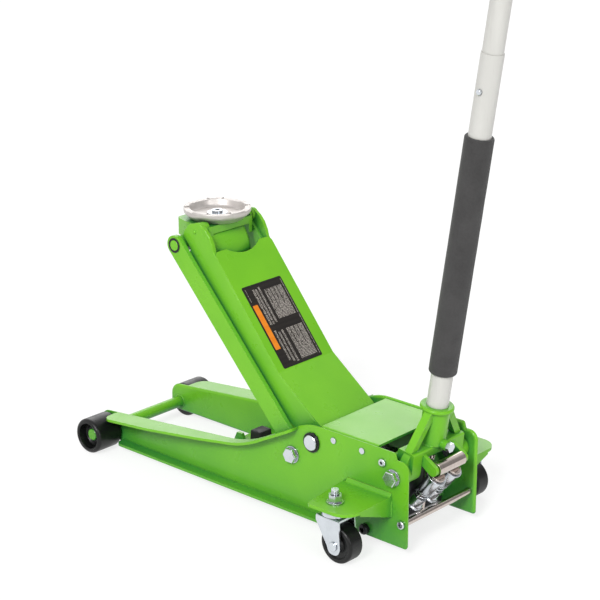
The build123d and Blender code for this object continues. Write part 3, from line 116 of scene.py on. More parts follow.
class Finish:
    """A material under construction: a Principled shader and the pattern nodes that feed it."""

    def __init__(self, name, **sockets):
        self.material = bpy.data.materials.new(name)
        self.material.use_nodes = True
        self.tree = self.material.node_tree
        self.shader = self.tree.nodes["Principled BSDF"]
        self.coords = self.node("ShaderNodeTexCoord").outputs["Object"]
        for socket, value in sockets.items():
            self.shader.inputs[socket.replace("_", " ")].default_value = value

    def node(self, kind, inputs=None, **settings):
        return add_node(self.tree, kind, inputs, **settings)

    def noise(self, scale, detail=3.0, stretch=(1, 1, 1)):
        """Cloudy pattern; scale is in waves to the metre."""
        place = self.node("ShaderNodeMapping", {"Vector": self.coords, "Scale": stretch})
        inputs = {"Vector": place.outputs[0], "Scale": scale, "Detail": detail}
        return self.node("ShaderNodeTexNoise", inputs).outputs[0]

    def cloud(self, scale, detail=3.0, stretch=(1, 1, 1)):
        """The cloudy pattern at full contrast, from 0 to 1."""
        return self.remap(self.noise(scale, detail, stretch), 0.35, 0.65, 0.0, 1.0)

    def cells(self, scale):
        inputs = {"Vector": self.coords, "Scale": scale}
        return self.node("ShaderNodeTexVoronoi", inputs).outputs["Distance"]

    def remap(self, value, low, high, new_low, new_high):
        """Bring the span from low to high to a new one, and stop at its ends."""
        inputs = {0: value, 1: low, 2: high, 3: new_low, 4: new_high}
        return self.node("ShaderNodeMapRange", inputs).outputs[0]

    def times(self, first, second):
        return self.node("ShaderNodeMath", {0: first, 1: second}, operation="MULTIPLY").outputs[0]

    def mix(self, share, first, second):
        inputs = {0: share, 6: first, 7: second}
        return self.node("ShaderNodeMix", inputs, data_type="RGBA").outputs[2]

    def rounded(self, radius):
        """Normal that rounds sharp edges by this radius."""
        return self.node("ShaderNodeBevel", {"Radius": radius}, samples=4).outputs[0]

    def edges(self, rounded_normal):
        """1 on an edge and 0 on a face, from how far the rounded normal leans."""
        true_normal = self.node("ShaderNodeNewGeometry").outputs["Normal"]
        inputs = {0: rounded_normal, 1: true_normal}
        lean = self.node("ShaderNodeVectorMath", inputs, operation="DOT_PRODUCT")
        return self.remap(lean.outputs["Value"], 0.995, 0.85, 0.0, 1.0)

    def corner_shade_mask(self, distance):
        """1 in a tight corner and 0 in the open: where shade is painted in."""
        inputs = {"Distance": distance}
        shade = self.node("ShaderNodeAmbientOcclusion", inputs, samples=4)
        return self.remap(shade.outputs["AO"], 0.85, 0.25, 0.0, 1.0)

    def bump(self, height, strength, distance, normal=None):
        inputs = {"Height": height, "Strength": strength, "Distance": distance}
        if normal is not None:
            inputs["Normal"] = normal
        return self.node("ShaderNodeBump", inputs).outputs[0]

    def grain(self, scale, detail, strength, depth, normal=None):
        """Normal of a fine cloudy relief."""
        return self.bump(self.noise(scale, detail), strength, depth, normal)

    def wear_and_highlight(self, colour, normal, share, tone):
        """The colour, with a share of a tone on its edges: wear on some finishes, a painted highlight on
        others.
        """
        return self.mix(self.times(self.edges(normal), share), colour, tone)

    def shade(self, colour, distance, share, tone):
        """The colour, with a share of a darker tone painted in as shade in corners about as tight as a
        distance.
        """
        return self.mix(self.times(self.corner_shade_mask(distance), share), colour, tone)

    def feed(self, socket, value):
        self.tree.links.new(value, self.shader.inputs[socket])

    def set_roughness(self, low, high, scale, detail=3.0):
        """Roughness that wanders between two values in a cloudy pattern."""
        self.feed("Roughness", self.remap(self.noise(scale, detail), 0.3, 0.7, low, high))


def make_green_paint():
    """Powder coat: orange peel, soft sheet waviness, edges lighter from thinner paint and partly as
    painted highlight, and painted deep green shade in corners and low places.
    """
    f = Finish(
        "green_paint", IOR=1.45, Coat_Weight=0.12, Coat_Roughness=0.15, Specular_IOR_Level=0.36
    )
    normal = f.rounded(radius=0.0009)
    colour = f.mix(f.cloud(scale=14), srgb(118, 192, 34), srgb(112, 187, 32))
    # lighter edges: thinner paint in part, a painted highlight in part
    colour = f.wear_and_highlight(colour, normal, share=0.35, tone=srgb(166, 222, 64))
    # painted shade: a deep blue-green tone in recesses and low down, where the jack's parts and the floor
    # keep light off
    colour = f.shade(colour, distance=0.12, share=0.82, tone=srgb(16, 122, 60))
    # painted shade: a dark line in tight corners and where parts meet
    colour = f.shade(colour, distance=0.004, share=0.45, tone=srgb(22, 84, 34))
    f.feed("Base Color", colour)
    f.set_roughness(0.26, 0.36, scale=30, detail=5)
    normal = f.grain(scale=9, detail=1, strength=0.1, depth=0.004, normal=normal)
    f.feed("Normal", f.grain(scale=620, detail=2, strength=0.04, depth=0.0003, normal=normal))
    return f.material


def make_zinc():
    """Zinc plate: cool and cloudy, brighter on edges, with painted shade in its corners."""
    f = Finish("zinc", Metallic=1.0)
    normal = f.rounded(radius=0.0006)
    colour = f.mix(f.cloud(scale=45, detail=2), srgb(216, 221, 227), srgb(208, 213, 219))
    colour = f.wear_and_highlight(colour, normal, share=0.6, tone=srgb(246, 248, 252))
    # painted shade in corners
    colour = f.shade(colour, distance=0.005, share=0.8, tone=srgb(64, 64, 66))
    f.feed("Base Color", colour)
    f.set_roughness(0.2, 0.27, scale=60, detail=2)
    f.feed("Normal", f.grain(scale=1300, detail=2, strength=0.02, depth=0.0002, normal=normal))
    return f.material


def make_bright_steel():
    """Ground steel with faint rings, warm in tone, with painted shade in its corners."""
    f = Finish("bright_steel", Metallic=1.0)
    normal = f.rounded(radius=0.0006)
    rings = f.noise(scale=500, detail=3, stretch=(0.05, 1, 0.05))
    colour = f.mix(rings, srgb(214, 204, 198), srgb(180, 166, 157))
    # painted shade in corners
    colour = f.shade(colour, distance=0.006, share=0.8, tone=srgb(70, 58, 52))
    f.feed("Base Color", colour)
    f.set_roughness(0.1, 0.22, scale=70, detail=4)
    f.feed("Normal", f.bump(rings, strength=0.05, distance=0.0003, normal=normal))
    return f.material


def make_saddle_cast():
    """Pale cast saddle: sandy skin, lighter edges and painted shade in its corners."""
    f = Finish("saddle_cast", Metallic=0.6)
    normal = f.rounded(radius=0.0012)
    colour = f.mix(f.cloud(scale=60, detail=5), srgb(206, 201, 197), srgb(192, 186, 182))
    colour = f.wear_and_highlight(colour, normal, share=0.85, tone=srgb(242, 240, 238))
    # painted shade in corners
    colour = f.shade(colour, distance=0.009, share=0.7, tone=srgb(112, 106, 102))
    f.feed("Base Color", colour)
    f.set_roughness(0.34, 0.52, scale=220, detail=4)
    f.feed("Normal", f.grain(scale=900, detail=4, strength=0.22, depth=0.0005, normal=normal))
    return f.material


def make_light_paint():
    """Pale grey satin paint of the handle tubes, with fine lengthwise scuffs and painted shade in tight
    corners.
    """
    f = Finish("light_paint", Coat_Weight=0.2, Coat_Roughness=0.2)
    cloud = f.cloud(scale=18, detail=4, stretch=(4, 4, 0.4))
    colour = f.mix(cloud, srgb(210, 209, 204), srgb(204, 203, 198))
    scratches = f.noise(scale=420, detail=2, stretch=(1, 1, 0.02))
    scuffs = f.remap(scratches, 0.66, 0.78, 0.0, 0.35)
    colour = f.mix(scuffs, colour, srgb(188, 186, 180))
    # painted shade in tight corners
    colour = f.shade(colour, distance=0.004, share=0.6, tone=srgb(120, 118, 112))
    f.feed("Base Color", colour)
    f.set_roughness(0.3, 0.44, scale=35, detail=5)
    normal = f.rounded(radius=0.0005)
    f.feed("Normal", f.grain(scale=700, detail=2, strength=0.05, depth=0.0003, normal=normal))
    return f.material


def make_foam():
    """Closed-cell foam: fine pores with painted shade in them, a dusty sheen and a soft uneven tone."""
    f = Finish("foam", Sheen_Weight=0.18, Sheen_Roughness=0.5)
    colour = f.mix(f.cloud(scale=26, detail=5), srgb(65, 64, 64), srgb(56, 55, 55))
    pores = f.remap(f.cells(scale=1100), 0.0, 0.35, 0.0, 1.0)
    # painted shade: the pores are darkened as if in shadow
    pore_shade = f.remap(pores, 0.0, 1.0, 0.45, 0.0)
    colour = f.mix(pore_shade, colour, srgb(38, 37, 37))
    f.feed("Base Color", colour)
    f.set_roughness(0.82, 0.95, scale=300, detail=3)
    normal = f.grain(scale=320, detail=4, strength=0.35, depth=0.0006)
    f.feed("Normal", f.bump(pores, strength=0.3, distance=0.0004, normal=normal))
    return f.material


def make_black_nylon():
    """Moulded black nylon: glossy, with flow clouds, edges lightened as scuffs and partly as painted
    highlight, and a little floor dust.
    """
    f = Finish("black_nylon", IOR=1.5, Specular_IOR_Level=0.34)
    normal = f.rounded(radius=0.0012)
    dust = f.remap(f.noise(scale=48, detail=6), 0.55, 0.85, 0.0, 0.18)
    colour = f.mix(dust, srgb(15, 16, 16), srgb(52, 51, 49))
    # lighter edges: scuffs in part, a painted highlight in part
    colour = f.wear_and_highlight(colour, normal, share=0.4, tone=srgb(58, 58, 57))
    f.feed("Base Color", colour)
    f.set_roughness(0.26, 0.46, scale=40, detail=5)
    normal = f.grain(scale=24, detail=2, strength=0.1, depth=0.002, normal=normal)
    f.feed("Normal", f.grain(scale=800, detail=2, strength=0.06, depth=0.0003, normal=normal))
    return f.material


def make_black_rubber():
    """Matt black rubber with a fine grain."""
    f = Finish("black_rubber")
    normal = f.rounded(radius=0.001)
    dust = f.remap(f.noise(scale=70, detail=5), 0.4, 0.8, 0.0, 0.6)
    colour = f.mix(dust, srgb(20, 20, 20), srgb(44, 43, 41))
    f.feed("Base Color", colour)
    f.set_roughness(0.55, 0.75, scale=90, detail=3)
    f.feed("Normal", f.grain(scale=1400, detail=3, strength=0.2, depth=0.0004, normal=normal))
    return f.material


def make_black_oxide():
    """Blackened steel, rubbed to grey on its edges."""
    f = Finish("black_oxide", Metallic=0.6)
    normal = f.rounded(radius=0.0005)
    colour = f.mix(f.noise(scale=120, detail=4), srgb(30, 31, 33), srgb(44, 44, 46))
    colour = f.wear_and_highlight(colour, normal, share=0.7, tone=srgb(120, 118, 114))
    f.feed("Base Color", colour)
    f.set_roughness(0.3, 0.5, scale=200, detail=3)
    f.feed("Normal", f.grain(scale=1200, detail=2, strength=0.08, depth=0.0003, normal=normal))
    return f.material


def make_dark_cast():
    """Black-painted casting with a sandy skin."""
    f = Finish("dark_cast", Coat_Weight=0.3, Coat_Roughness=0.25)
    normal = f.rounded(radius=0.001)
    colour = f.mix(f.noise(scale=50, detail=5), srgb(20, 21, 21), srgb(36, 37, 36))
    colour = f.wear_and_highlight(colour, normal, share=0.4, tone=srgb(84, 84, 82))
    f.feed("Base Color", colour)
    f.set_roughness(0.34, 0.55, scale=120, detail=4)
    f.feed("Normal", f.grain(scale=520, detail=5, strength=0.35, depth=0.0008, normal=normal))
    return f.material


def make_black_plastic():
    """Black plastic of the handle's cap, finely grained."""
    f = Finish("black_plastic")
    colour = f.mix(f.noise(scale=80, detail=4), srgb(26, 26, 27), srgb(40, 40, 41))
    f.feed("Base Color", colour)
    f.set_roughness(0.4, 0.55, scale=160, detail=3)
    normal = f.rounded(radius=0.0008)
    f.feed("Normal", f.grain(scale=1600, detail=2, strength=0.15, depth=0.0003, normal=normal))
    return f.material


def make_decal_print(name, light, dark, line_pitch):
    """Printed vinyl: two inks in fine plain bars across the decal, or one even ink."""
    f = Finish(name, Specular_IOR_Level=0.25)
    along = f.node("ShaderNodeSeparateXYZ", {0: f.coords}).outputs[0]
    phase = f.node("ShaderNodeMath", {0: along, 1: line_pitch}, operation="PINGPONG").outputs[0]
    gap_end, bar_start = line_pitch * 0.35, line_pitch * 0.5
    bars = f.remap(phase, gap_end, bar_start, 0.0, 1.0)
    breaks = f.remap(f.noise(scale=900, detail=1, stretch=(0.6, 1, 1)), 0.42, 0.5, 0.0, 1.0)
    colour = f.mix(f.times(bars, breaks), dark, light)
    f.feed("Base Color", colour)
    f.set_roughness(0.3, 0.42, scale=60, detail=3)
    f.feed("Normal", f.grain(scale=500, detail=2, strength=0.04, depth=0.0003))
    return f.material


finishes = {
    "green_paint": make_green_paint(),
    "zinc": make_zinc(),
    "bright_steel": make_bright_steel(),
    "saddle_cast": make_saddle_cast(),
    "light_paint": make_light_paint(),
    "foam": make_foam(),
    "black_nylon": make_black_nylon(),
    "black_rubber": make_black_rubber(),
    "black_oxide": make_black_oxide(),
    "dark_cast": make_dark_cast(),
    "black_plastic": make_black_plastic(),
    "decal_black": make_decal_print("decal_black", srgb(40, 36, 34), srgb(33, 29, 28), 0.004),
    "decal_grey": make_decal_print("decal_grey", srgb(186, 179, 172), srgb(58, 53, 50), 0.0011),
    "decal_orange": make_decal_print("decal_orange", srgb(226, 126, 24), srgb(232, 136, 36), 0.01),
}

# Nodes whose finish differs from the material slot that they were packed with.
node_finishes = {
    "saddle": "saddle_cast",
    "arm_pins": "green_paint",
    "pump_roller_pin": "green_paint",
    "tie_rod": "bright_steel",
    "cover_rivets": "zinc",
}


def dress_cad_nodes():
    for name, node in frame["nodes"].items():
        for slot in node.material_slots:
            slot.material = finishes[node_finishes.get(name, slot.material.name)]


# ---------------------------------------------------------------- mesh building
def add_piece(name, mesh, body, finish, place=None, smooth=True):
    """Make a piece of a finished bmesh; place is its own frame, if it isn't the jack's."""
    data = bpy.data.meshes.new(name)
    bmesh.ops.recalc_face_normals(mesh, faces=mesh.faces[:])
    mesh.to_mesh(data)
    mesh.free()
    for polygon in data.polygons:
        polygon.use_smooth = smooth
    piece = bpy.data.objects.new(name, data)
    bpy.context.scene.collection.objects.link(piece)
    if place is not None:
        piece.matrix_world = place
    data.materials.append(finishes[finish])
    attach(piece, body)
    return piece


def side_vectors(direction):
    """Two unit vectors square to a direction and to each other."""
    helper = UP if abs(direction.dot(UP)) < 0.9 else LEFT
    first = direction.cross(helper).normalized()
    return first, direction.cross(first).normalized()


def outward(first, second, angle):
    """Unit vector at an angle in the plane of two others."""
    return first * math.cos(angle) + second * math.sin(angle)


def ring_points(origin, first, second, radius, count):
    """Points evenly spaced on a circle in the plane of two unit vectors."""
    points = []
    for step in range(count):
        points.append(origin + outward(first, second, 2 * math.pi * step / count) * radius)
    return points


def circle_points(origin, axis, radius, step):
    """Points about a step apart on a circle square to an axis."""
    count = max(12, round(2 * math.pi * radius / step))
    return ring_points(origin, *side_vectors(axis), radius, count)


def line_points(start, end, step):
    """Points about a step apart on a straight line."""
    count = max(2, round((end - start).length / step))
    return [start.lerp(end, index / count) for index in range(count + 1)]


def helix_points(foot, climb, first, second, radius, steps, count):
    """Points of a coil; climb is its rise in one turn, which has that many steps."""
    points = []
    for index in range(count):
        turned = index / steps
        points.append(foot + climb * turned + outward(first, second, 2 * math.pi * turned) * radius)
    return points


def arc(middle, radius, start, end, step=12):
    """Points on an arc in a plane, with angles in degrees."""
    count = max(1, round(abs(end - start) / step))
    points = []
    for index in range(count + 1):
        angle = math.radians(start + (end - start) * index / count)
        points.append((middle[0] + radius * math.cos(angle), middle[1] + radius * math.sin(angle)))
    return points


def join_rows(mesh, rows):
    """Skin between neighbouring open rows of as many vertices."""
    for low, high in zip(rows, rows[1:]):
        for index in range(len(low) - 1):
            mesh.faces.new((low[index], low[index + 1], high[index + 1], high[index]))


def join_rings(mesh, rings, turned=False):
    """Skin between neighbouring rings; turned ones don't all start on the same side."""
    for low, high in zip(rings, rings[1:]):
        sides = len(low)
        turn = 0
        if turned:
            turn = min(range(sides), key=lambda k: (high[k].co - low[0].co).length)
        for step in range(sides):
            after = (step + 1) % sides
            near, far = high[(step + turn) % sides], high[(after + turn) % sides]
            mesh.faces.new((low[step], low[after], far, near))


def prism(mesh, near_outline, far_outline):
    """Solid between two outlines of as many points; gives back its far end face."""
    near = [mesh.verts.new(point) for point in near_outline]
    far = [mesh.verts.new(point) for point in far_outline]
    mesh.faces.new(near)
    far_end = mesh.faces.new(far)
    join_rings(mesh, [near, far])
    bmesh.ops.recalc_face_normals(mesh, faces=mesh.faces[:])
    return far_end


def lathe(mesh, origin, direction, profile, segments=48, closed=False):
    """Turn a profile of (distance along the axis, radius) points about an axis."""
    first, second = side_vectors(direction)
    rings = []
    for along, radius in profile:
        points = ring_points(origin + direction * along, first, second, radius, segments)
        rings.append([mesh.verts.new(point) for point in points])
    if closed:
        rings.append(rings[0])
    join_rings(mesh, rings)
    return rings


def tube(mesh, points, radius, closed=False, sides=10, ripple=0.0, pitch=1.0):
    """A round rod along a line of points; ripple swells it at every pitch, as in a weld bead."""
    count = len(points)
    rings = []
    travelled = 0.0
    first, second = side_vectors((points[1] - points[0]).normalized())
    for index, point in enumerate(points):
        before = points[index - 1] if index or closed else point
        after = points[(index + 1) % count] if index + 1 < count or closed else point
        direction = (after - before).normalized()
        if index:
            travelled += (point - points[index - 1]).length
        first = (first - direction * first.dot(direction)).normalized()
        second = direction.cross(first)
        size = radius * (1 + ripple * (abs(math.sin(math.pi * travelled / pitch)) - 0.5))
        ring = ring_points(point, first, second, size, sides)
        rings.append([mesh.verts.new(corner) for corner in ring])
    if closed:
        join_rings(mesh, rings + [rings[0]], turned=True)
    else:
        join_rings(mesh, rings, turned=True)
        mesh.faces.new(rings[0])
        mesh.faces.new(list(reversed(rings[-1])))


# ---------------------------------------------------------------- foam grip
def add_foam_grip():
    """Foam sleeve with pinched, rounded ends and the slight unevenness of soft foam."""
    end_gap, bore_gap = 0.0003, 0.0002
    start = 0.1522 + end_gap  # both up the handle from the socket's pivot
    end = 0.5262 - end_gap
    outer = half_size("handle_grip").y
    inner = half_size("handle_lower_tube").y + bore_gap
    corner, lip = 0.003, 0.001
    rows, segments = 60, 64
    profile = [(start, inner), (start, inner + lip)]
    profile += arc((start + corner, outer - corner), corner, 180, 90, 15)
    for row in range(1, rows):
        profile.append((start + corner + (end - start - 2 * corner) * row / rows, outer))
    profile += arc((end - corner, outer - corner), corner, 90, 0, 15)
    profile += [(end, inner + lip), (end, inner)]
    mesh = bmesh.new()
    lathe(mesh, SOCKET, HANDLE_UP, profile, segments, closed=True)
    skin, deepest, waves = 0.001, 0.00035, 38
    for vertex in mesh.verts:
        offset = vertex.co - SOCKET
        away = offset - HANDLE_UP * offset.dot(HANDLE_UP)
        if away.length > outer - skin:
            sag = 0.5 + 0.5 * noise.noise(vertex.co * waves)
            vertex.co -= away.normalized() * deepest * sag
    piece = add_piece("foam_grip", mesh, "handle", "foam")
    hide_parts("handle_grip")


# ---------------------------------------------------------------- pressed sides of the arm
ARM_LENGTH = (ARM_PIN - PIVOT).length
WALL_INNER, WALL_OUTER = 0.0588, 0.0653  # faces of the arm's walls, from the centre plane


def arm_wall_outline():
    """Outline of a wall, as (along the arm from its pivot, above the line through its pins)."""
    low_edge, end_low_edge = -0.047, -0.0365
    corner, crown = 0.010, 0.0104
    foot = [(0.026, -0.022), (0.034, -0.034), (0.062, low_edge), (0.369, low_edge)]
    foot += [(ARM_LENGTH - 0.013, end_low_edge)]
    nose = arc((ARM_LENGTH + 0.006, end_low_edge + corner), corner, -90, 0)
    nose += arc((ARM_LENGTH + 0.007, -0.013), corner, -5, 42)
    nose += arc((ARM_LENGTH, 0.0), crown, 30, 95)
    top = [(ARM_LENGTH - 0.011, 0.0128), (0.366, 0.0126), (0.352, 0.0088), (0.343, 0.004)]
    top += [(0.300, -0.0003), (0.124, -0.0096), (0.026, 0.0088)]
    return foot + nose + top


def add_arm_sides():
    """Outer walls of the arm's channel, from beside the cover to the wide cheeks at the saddle end."""
    edge_radius = 0.0011
    for side, name in ((1, "left"), (-1, "right")):
        faces = []
        for reach in (WALL_INNER, WALL_OUTER):
            rim = []
            for along, above in arm_wall_outline():
                place = PIVOT + ARM_ALONG * along + ARM_ABOVE * above
                rim.append((place.x, side * reach, place.z))
            faces.append(rim)
        mesh = bmesh.new()
        outer = prism(mesh, *faces)
        bmesh.ops.bevel(
            mesh, geom=list(outer.edges), offset=edge_radius, segments=3, profile=0.5, affect="EDGES"
        )
        add_piece(f"arm_side_{name}", mesh, "arm", "green_paint", smooth=False)


def add_arm_pin_ends():
    """Low domes of the arm pins' ends, on the outside of the walls."""
    radius, height, sunk = 0.0034, 0.0019, 0.0005
    dome = [(-sunk, radius)]
    for angle in (0.0, 0.4, 0.8, 1.15):
        dome.append((height * math.sin(angle), radius * math.cos(angle)))
    beyond, below = 0.0005, 0.0095  # place of an end, from the arm pin's centre
    pin = PIVOT + ARM_ALONG * (ARM_LENGTH + beyond) - ARM_ABOVE * below
    mesh = bmesh.new()
    for side in (1, -1):
        rings = lathe(mesh, pin + LEFT * side * WALL_OUTER, LEFT * side, dome, 24)
        mesh.faces.new(rings[-1])
        mesh.faces.new(list(reversed(rings[0])))
    add_piece("arm_pin_ends", mesh, "arm", "green_paint")


def add_yoke_skirt():
    """Curved apron that slopes back from under the saddle's table, behind the arm cover's notch."""
    rear, sheet = -0.0095, 0.004
    near_end, far_end = 0.0515, -0.030
    top, foot = -0.0100, -0.050
    bulge, tuck = 0.020, 0.013
    columns, rows = 20, 6
    mesh = bmesh.new()
    skins = []
    for shift in (0.0, sheet):
        skin = []
        for row in range(rows + 1):
            share = row / rows
            line = []
            for column in range(columns + 1):
                across = near_end + (far_end - near_end) * column / columns
                bow = bulge * math.sin(share * math.pi / 2) - tuck * share * (across / near_end) ** 2
                point = Vector((rear - max(bow, 0.0) + shift, across, top + (foot - top) * share))
                line.append(mesh.verts.new(ARM_PIN + point))
            skin.append(line)
        join_rows(mesh, skin)
        skins.append(skin)
    outer, inner = skins
    for end in (0, -1):
        join_rows(mesh, [outer[end], inner[end]])
        join_rows(mesh, [[line[end] for line in outer], [line[end] for line in inner]])
    add_piece("yoke_skirt", mesh, "yoke", "green_paint")


# ---------------------------------------------------------------- decal on the arm
COVER_BEND = (0.124, -0.007)  # ends of the cover's upper face, along the arm and above its pins
COVER_END = (0.342, 0.005)
DECAL_LENGTH, DECAL_WIDTH = 0.147, 0.091
FILM = 0.00018  # thickness of each printed layer

# Grey blocks and lines: start and end along the decal, then left and right edge across it.
DECAL_GREYS = {
    "decal_block_upper": (0.080, 0.133, 0.043, 0.083),
    "decal_block_lower": (0.006, 0.062, 0.046, 0.083),
    "decal_bar_upper": (0.074, 0.138, 0.019, 0.0235),
    "decal_bar_upper_second": (0.074, 0.138, 0.0255, 0.0295),
    "decal_bar_upper_third": (0.076, 0.140, 0.0325, 0.0365),
    "decal_bar_lower": (0.010, 0.064, 0.019, 0.023),
    "decal_bar_lower_second": (0.006, 0.060, 0.0265, 0.0305),
    "decal_bar_lower_third": (0.004, 0.062, 0.0345, 0.0385),
    "decal_edge_line": (0.004, 0.143, 0.0868, 0.0882),
    "decal_side_line": (0.119, 0.142, 0.0050, 0.0062),
}

# Dark gaps in the grey blocks: start and end along the decal, then the middle across it.
DECAL_BREAKS = (
    (0.108, 0.134, 0.0475),
    (0.098, 0.134, 0.056),
    (0.112, 0.134, 0.064),
    (0.104, 0.134, 0.072),
    (0.034, 0.063, 0.054),
    (0.040, 0.063, 0.063),
    (0.030, 0.063, 0.072),
)


def decal_place():
    """Frame of the decal on the cover's upper face: X up the arm, Y to the left, Z off the face."""
    bend, end = [PIVOT + ARM_ALONG * u + ARM_ABOVE * w for u, w in (COVER_BEND, COVER_END)]
    along = (end - bend).normalized()
    above = along.cross(LEFT)
    gap, off_centre = 0.002, 0.0045
    origin = bend + along * gap + LEFT * off_centre
    axes = Matrix([list(along), list(above.cross(along)), list(above)])
    return Matrix.Translation(origin) @ axes.transposed().to_4x4()


def add_decal_panel(name, finish, extent, height, corner):
    """A thin sheet with rounded corners; extent is its start, end, left and right edge."""
    start, end, left, right = extent
    middles = (
        (end - corner, right - corner),
        (start + corner, right - corner),
        (start + corner, left + corner),
        (end - corner, left + corner),
    )
    rim = []
    for index, middle in enumerate(middles):
        rim += arc(middle, corner, 90 * index, 90 * index + 90, 22.5)
    faces = []
    for level in (height, height - FILM):
        faces.append([(x, DECAL_WIDTH / 2 - y, level) for x, y in rim])
    mesh = bmesh.new()
    prism(mesh, *faces)
    add_piece(name, mesh, "arm", finish, place=decal_place(), smooth=False)


def add_decal():
    """Plain black panel with grey bar blocks and an orange strip, on the arm cover's upper face."""
    base = 0.00022
    layer = base + 0.00006
    top_layer = layer + 0.00005
    break_width = 0.0016
    add_decal_panel("decal_panel", "decal_black", (0, DECAL_LENGTH, 0, DECAL_WIDTH), base, 0.003)
    add_decal_panel("decal_strip", "decal_orange", (0.033, 0.113, 0.0035, 0.0145), layer, 0.0008)
    for name, extent in DECAL_GREYS.items():
        add_decal_panel(name, "decal_grey", extent, layer, 0.0005)
    for index, (start, end, middle) in enumerate(DECAL_BREAKS):
        extent = (start, end, middle - break_width / 2, middle + break_width / 2)
        add_decal_panel(f"decal_break_{index}", "decal_black", extent, top_layer, 0.0003)


# ---------------------------------------------------------------- welds
BEAD = 0.0016  # radius of a weld bead
BEAD_STEP = 0.0006  # between the points of its line
BEAD_PITCH = 0.0026  # from ripple to ripple


def add_beads(name, lines, body, closed=False):
    """Painted weld beads along one or more lines, as one piece."""
    mesh = bmesh.new()
    for points in lines:
        tube(mesh, points, BEAD, closed, sides=8, ripple=0.35, pitch=BEAD_PITCH)
    add_piece(name, mesh, body, "green_paint")


def add_axle_welds():
    """Rings round the front axle, on both faces of each side plate."""
    axle = centre("front_axle")
    radius = half_size("front_axle").z + 0.0006
    rings = []
    for side in (-1, 1):
        for face in (INNER_FACE, OUTER_FACE):
            origin = Vector((axle.x, side * face, axle.z))
            rings.append(circle_points(origin, LEFT, radius, BEAD_STEP))
    add_beads("axle_welds", rings, "chassis", closed=True)


def add_crossmember_welds():
    """A level bead between each side plate and the end of the front crossmember."""
    low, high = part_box("front_crossmember")
    inset, rise, sunk = 0.012, 0.0142, 0.0003
    lines = []
    for side in (-1, 1):
        start = Vector((low.x + inset, side * (INNER_FACE - sunk), low.z + rise))
        end = Vector((high.x - inset, start.y, start.z))
        lines.append(line_points(start, end, BEAD_STEP))
    add_beads("crossmember_welds", lines, "chassis")


def add_bracket_welds():
    """Two upright beads between each caster wing and its side plate."""
    gusset = 0.0046
    for side, name in ((1, "left"), (-1, "right")):
        low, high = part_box(f"caster_bracket_{name}")
        lines = []
        for x, foot, top in (
            (low.x + gusset, low.z + 0.004, low.z + 0.028),
            (low.x, low.z + 0.001, high.z - 0.014),
        ):
            start = Vector((x, side * OUTER_FACE, foot))
            end = Vector((x, side * OUTER_FACE, top))
            lines.append(line_points(start, end, BEAD_STEP))
        add_beads(f"bracket_welds_{name}", lines, "chassis")


def add_hub_welds():
    """Rings between the arm's hub and the inner faces of its plates."""
    radius = 0.017 + 0.0004
    plate_inner = 0.0525
    rings = []
    for side in (-1, 1):
        origin = Vector((PIVOT.x, side * plate_inner, PIVOT.z))
        rings.append(circle_points(origin, LEFT, radius, BEAD_STEP))
    add_beads("arm_hub_welds", rings, "arm", closed=True)


def add_column_welds():
    """Two curved beads where the socket's column stands on its cross block."""
    radius = 0.021 - 0.0002
    block_top, block_half_depth = 0.036, 0.0152
    ring = circle_points(SOCKET + HANDLE_UP * block_top, HANDLE_UP, radius, BEAD_STEP)
    lines = []
    for side in (1, -1):
        line = []
        for point in ring:
            if side * point.y > 0 and abs((point - SOCKET).dot(HANDLE_FRONT)) < block_half_depth:
                line.append(point)
        line.sort(key=lambda p: (p - SOCKET).dot(HANDLE_FRONT))
        lines.append(line)
    add_beads("socket_column_welds", lines, "socket")


# ---------------------------------------------------------------- pump springs
WASHER = 0.0018  # thickness of a spring's seat


def plunger_axis(node):
    """A point on a plunger's axis, level with the socket's pivot along the plungers' direction."""
    arm = ROLLER - SOCKET
    sideways = arm - PUMP_UP * arm.dot(PUMP_UP)
    offset = (arm.length + sideways.length) / 2
    point = SOCKET + sideways.normalized() * offset
    return Vector((point.x, centre(node).y, point.z))


def spring_washer_profile(top):
    """Seat of the spring, under the plunger's sleeve; top is its upper face."""
    bore, outer, corner = 0.0062, 0.012, 0.0003
    foot = top - WASHER
    profile = [(foot, bore), (foot, outer - corner), (foot + corner, outer)]
    profile += [(top - corner, outer), (top, outer - corner), (top, bore)]
    return profile


def spring_cup_profile(top):
    """Pressed cup that hides the upper coils: flange under the pad, rolled shoulder and skirt."""
    bore, flange, skirt, sheet, depth = 0.0064, 0.0152, 0.0130, 0.0010, 0.035
    drops = (
        (0.0002, bore),
        (0.0002, flange - 0.0004),
        (0.0006, flange),
        (0.0020, flange),
        (0.0026, flange - 0.0005),
        (0.0032, skirt + 0.0003),
        (0.0042, skirt),
        (depth, skirt),
        (depth + 0.0003, skirt - 0.0003),
        (depth, skirt - sheet),
        (0.0042, skirt - sheet),
        (0.0030, bore),
    )
    return [(top - drop, radius) for drop, radius in drops]


def spring_sleeve_profile(foot):
    """Flanged sleeve round the lower coils, standing on the barrel's hexagon."""
    bore, outer, flange, lip, height = 0.0111, 0.0118, 0.0146, 0.0024, 0.022
    rises = (
        (0.0001, bore),
        (0.0001, flange - 0.0005),
        (0.0006, flange),
        (lip - 0.0005, flange),
        (lip, flange - 0.0005),
        (lip + 0.0004, outer),
        (height - 0.0002, outer),
        (height, outer - 0.0002),
        (height, bore),
    )
    return [(foot + rise, radius) for rise, radius in rises]


def add_turned_piece(name, origin, profile, segments, body):
    """A zinc-plated ring about a plunger's axis."""
    mesh = bmesh.new()
    lathe(mesh, origin, PUMP_UP, profile, segments, closed=True)
    add_piece(name, mesh, body, "zinc")


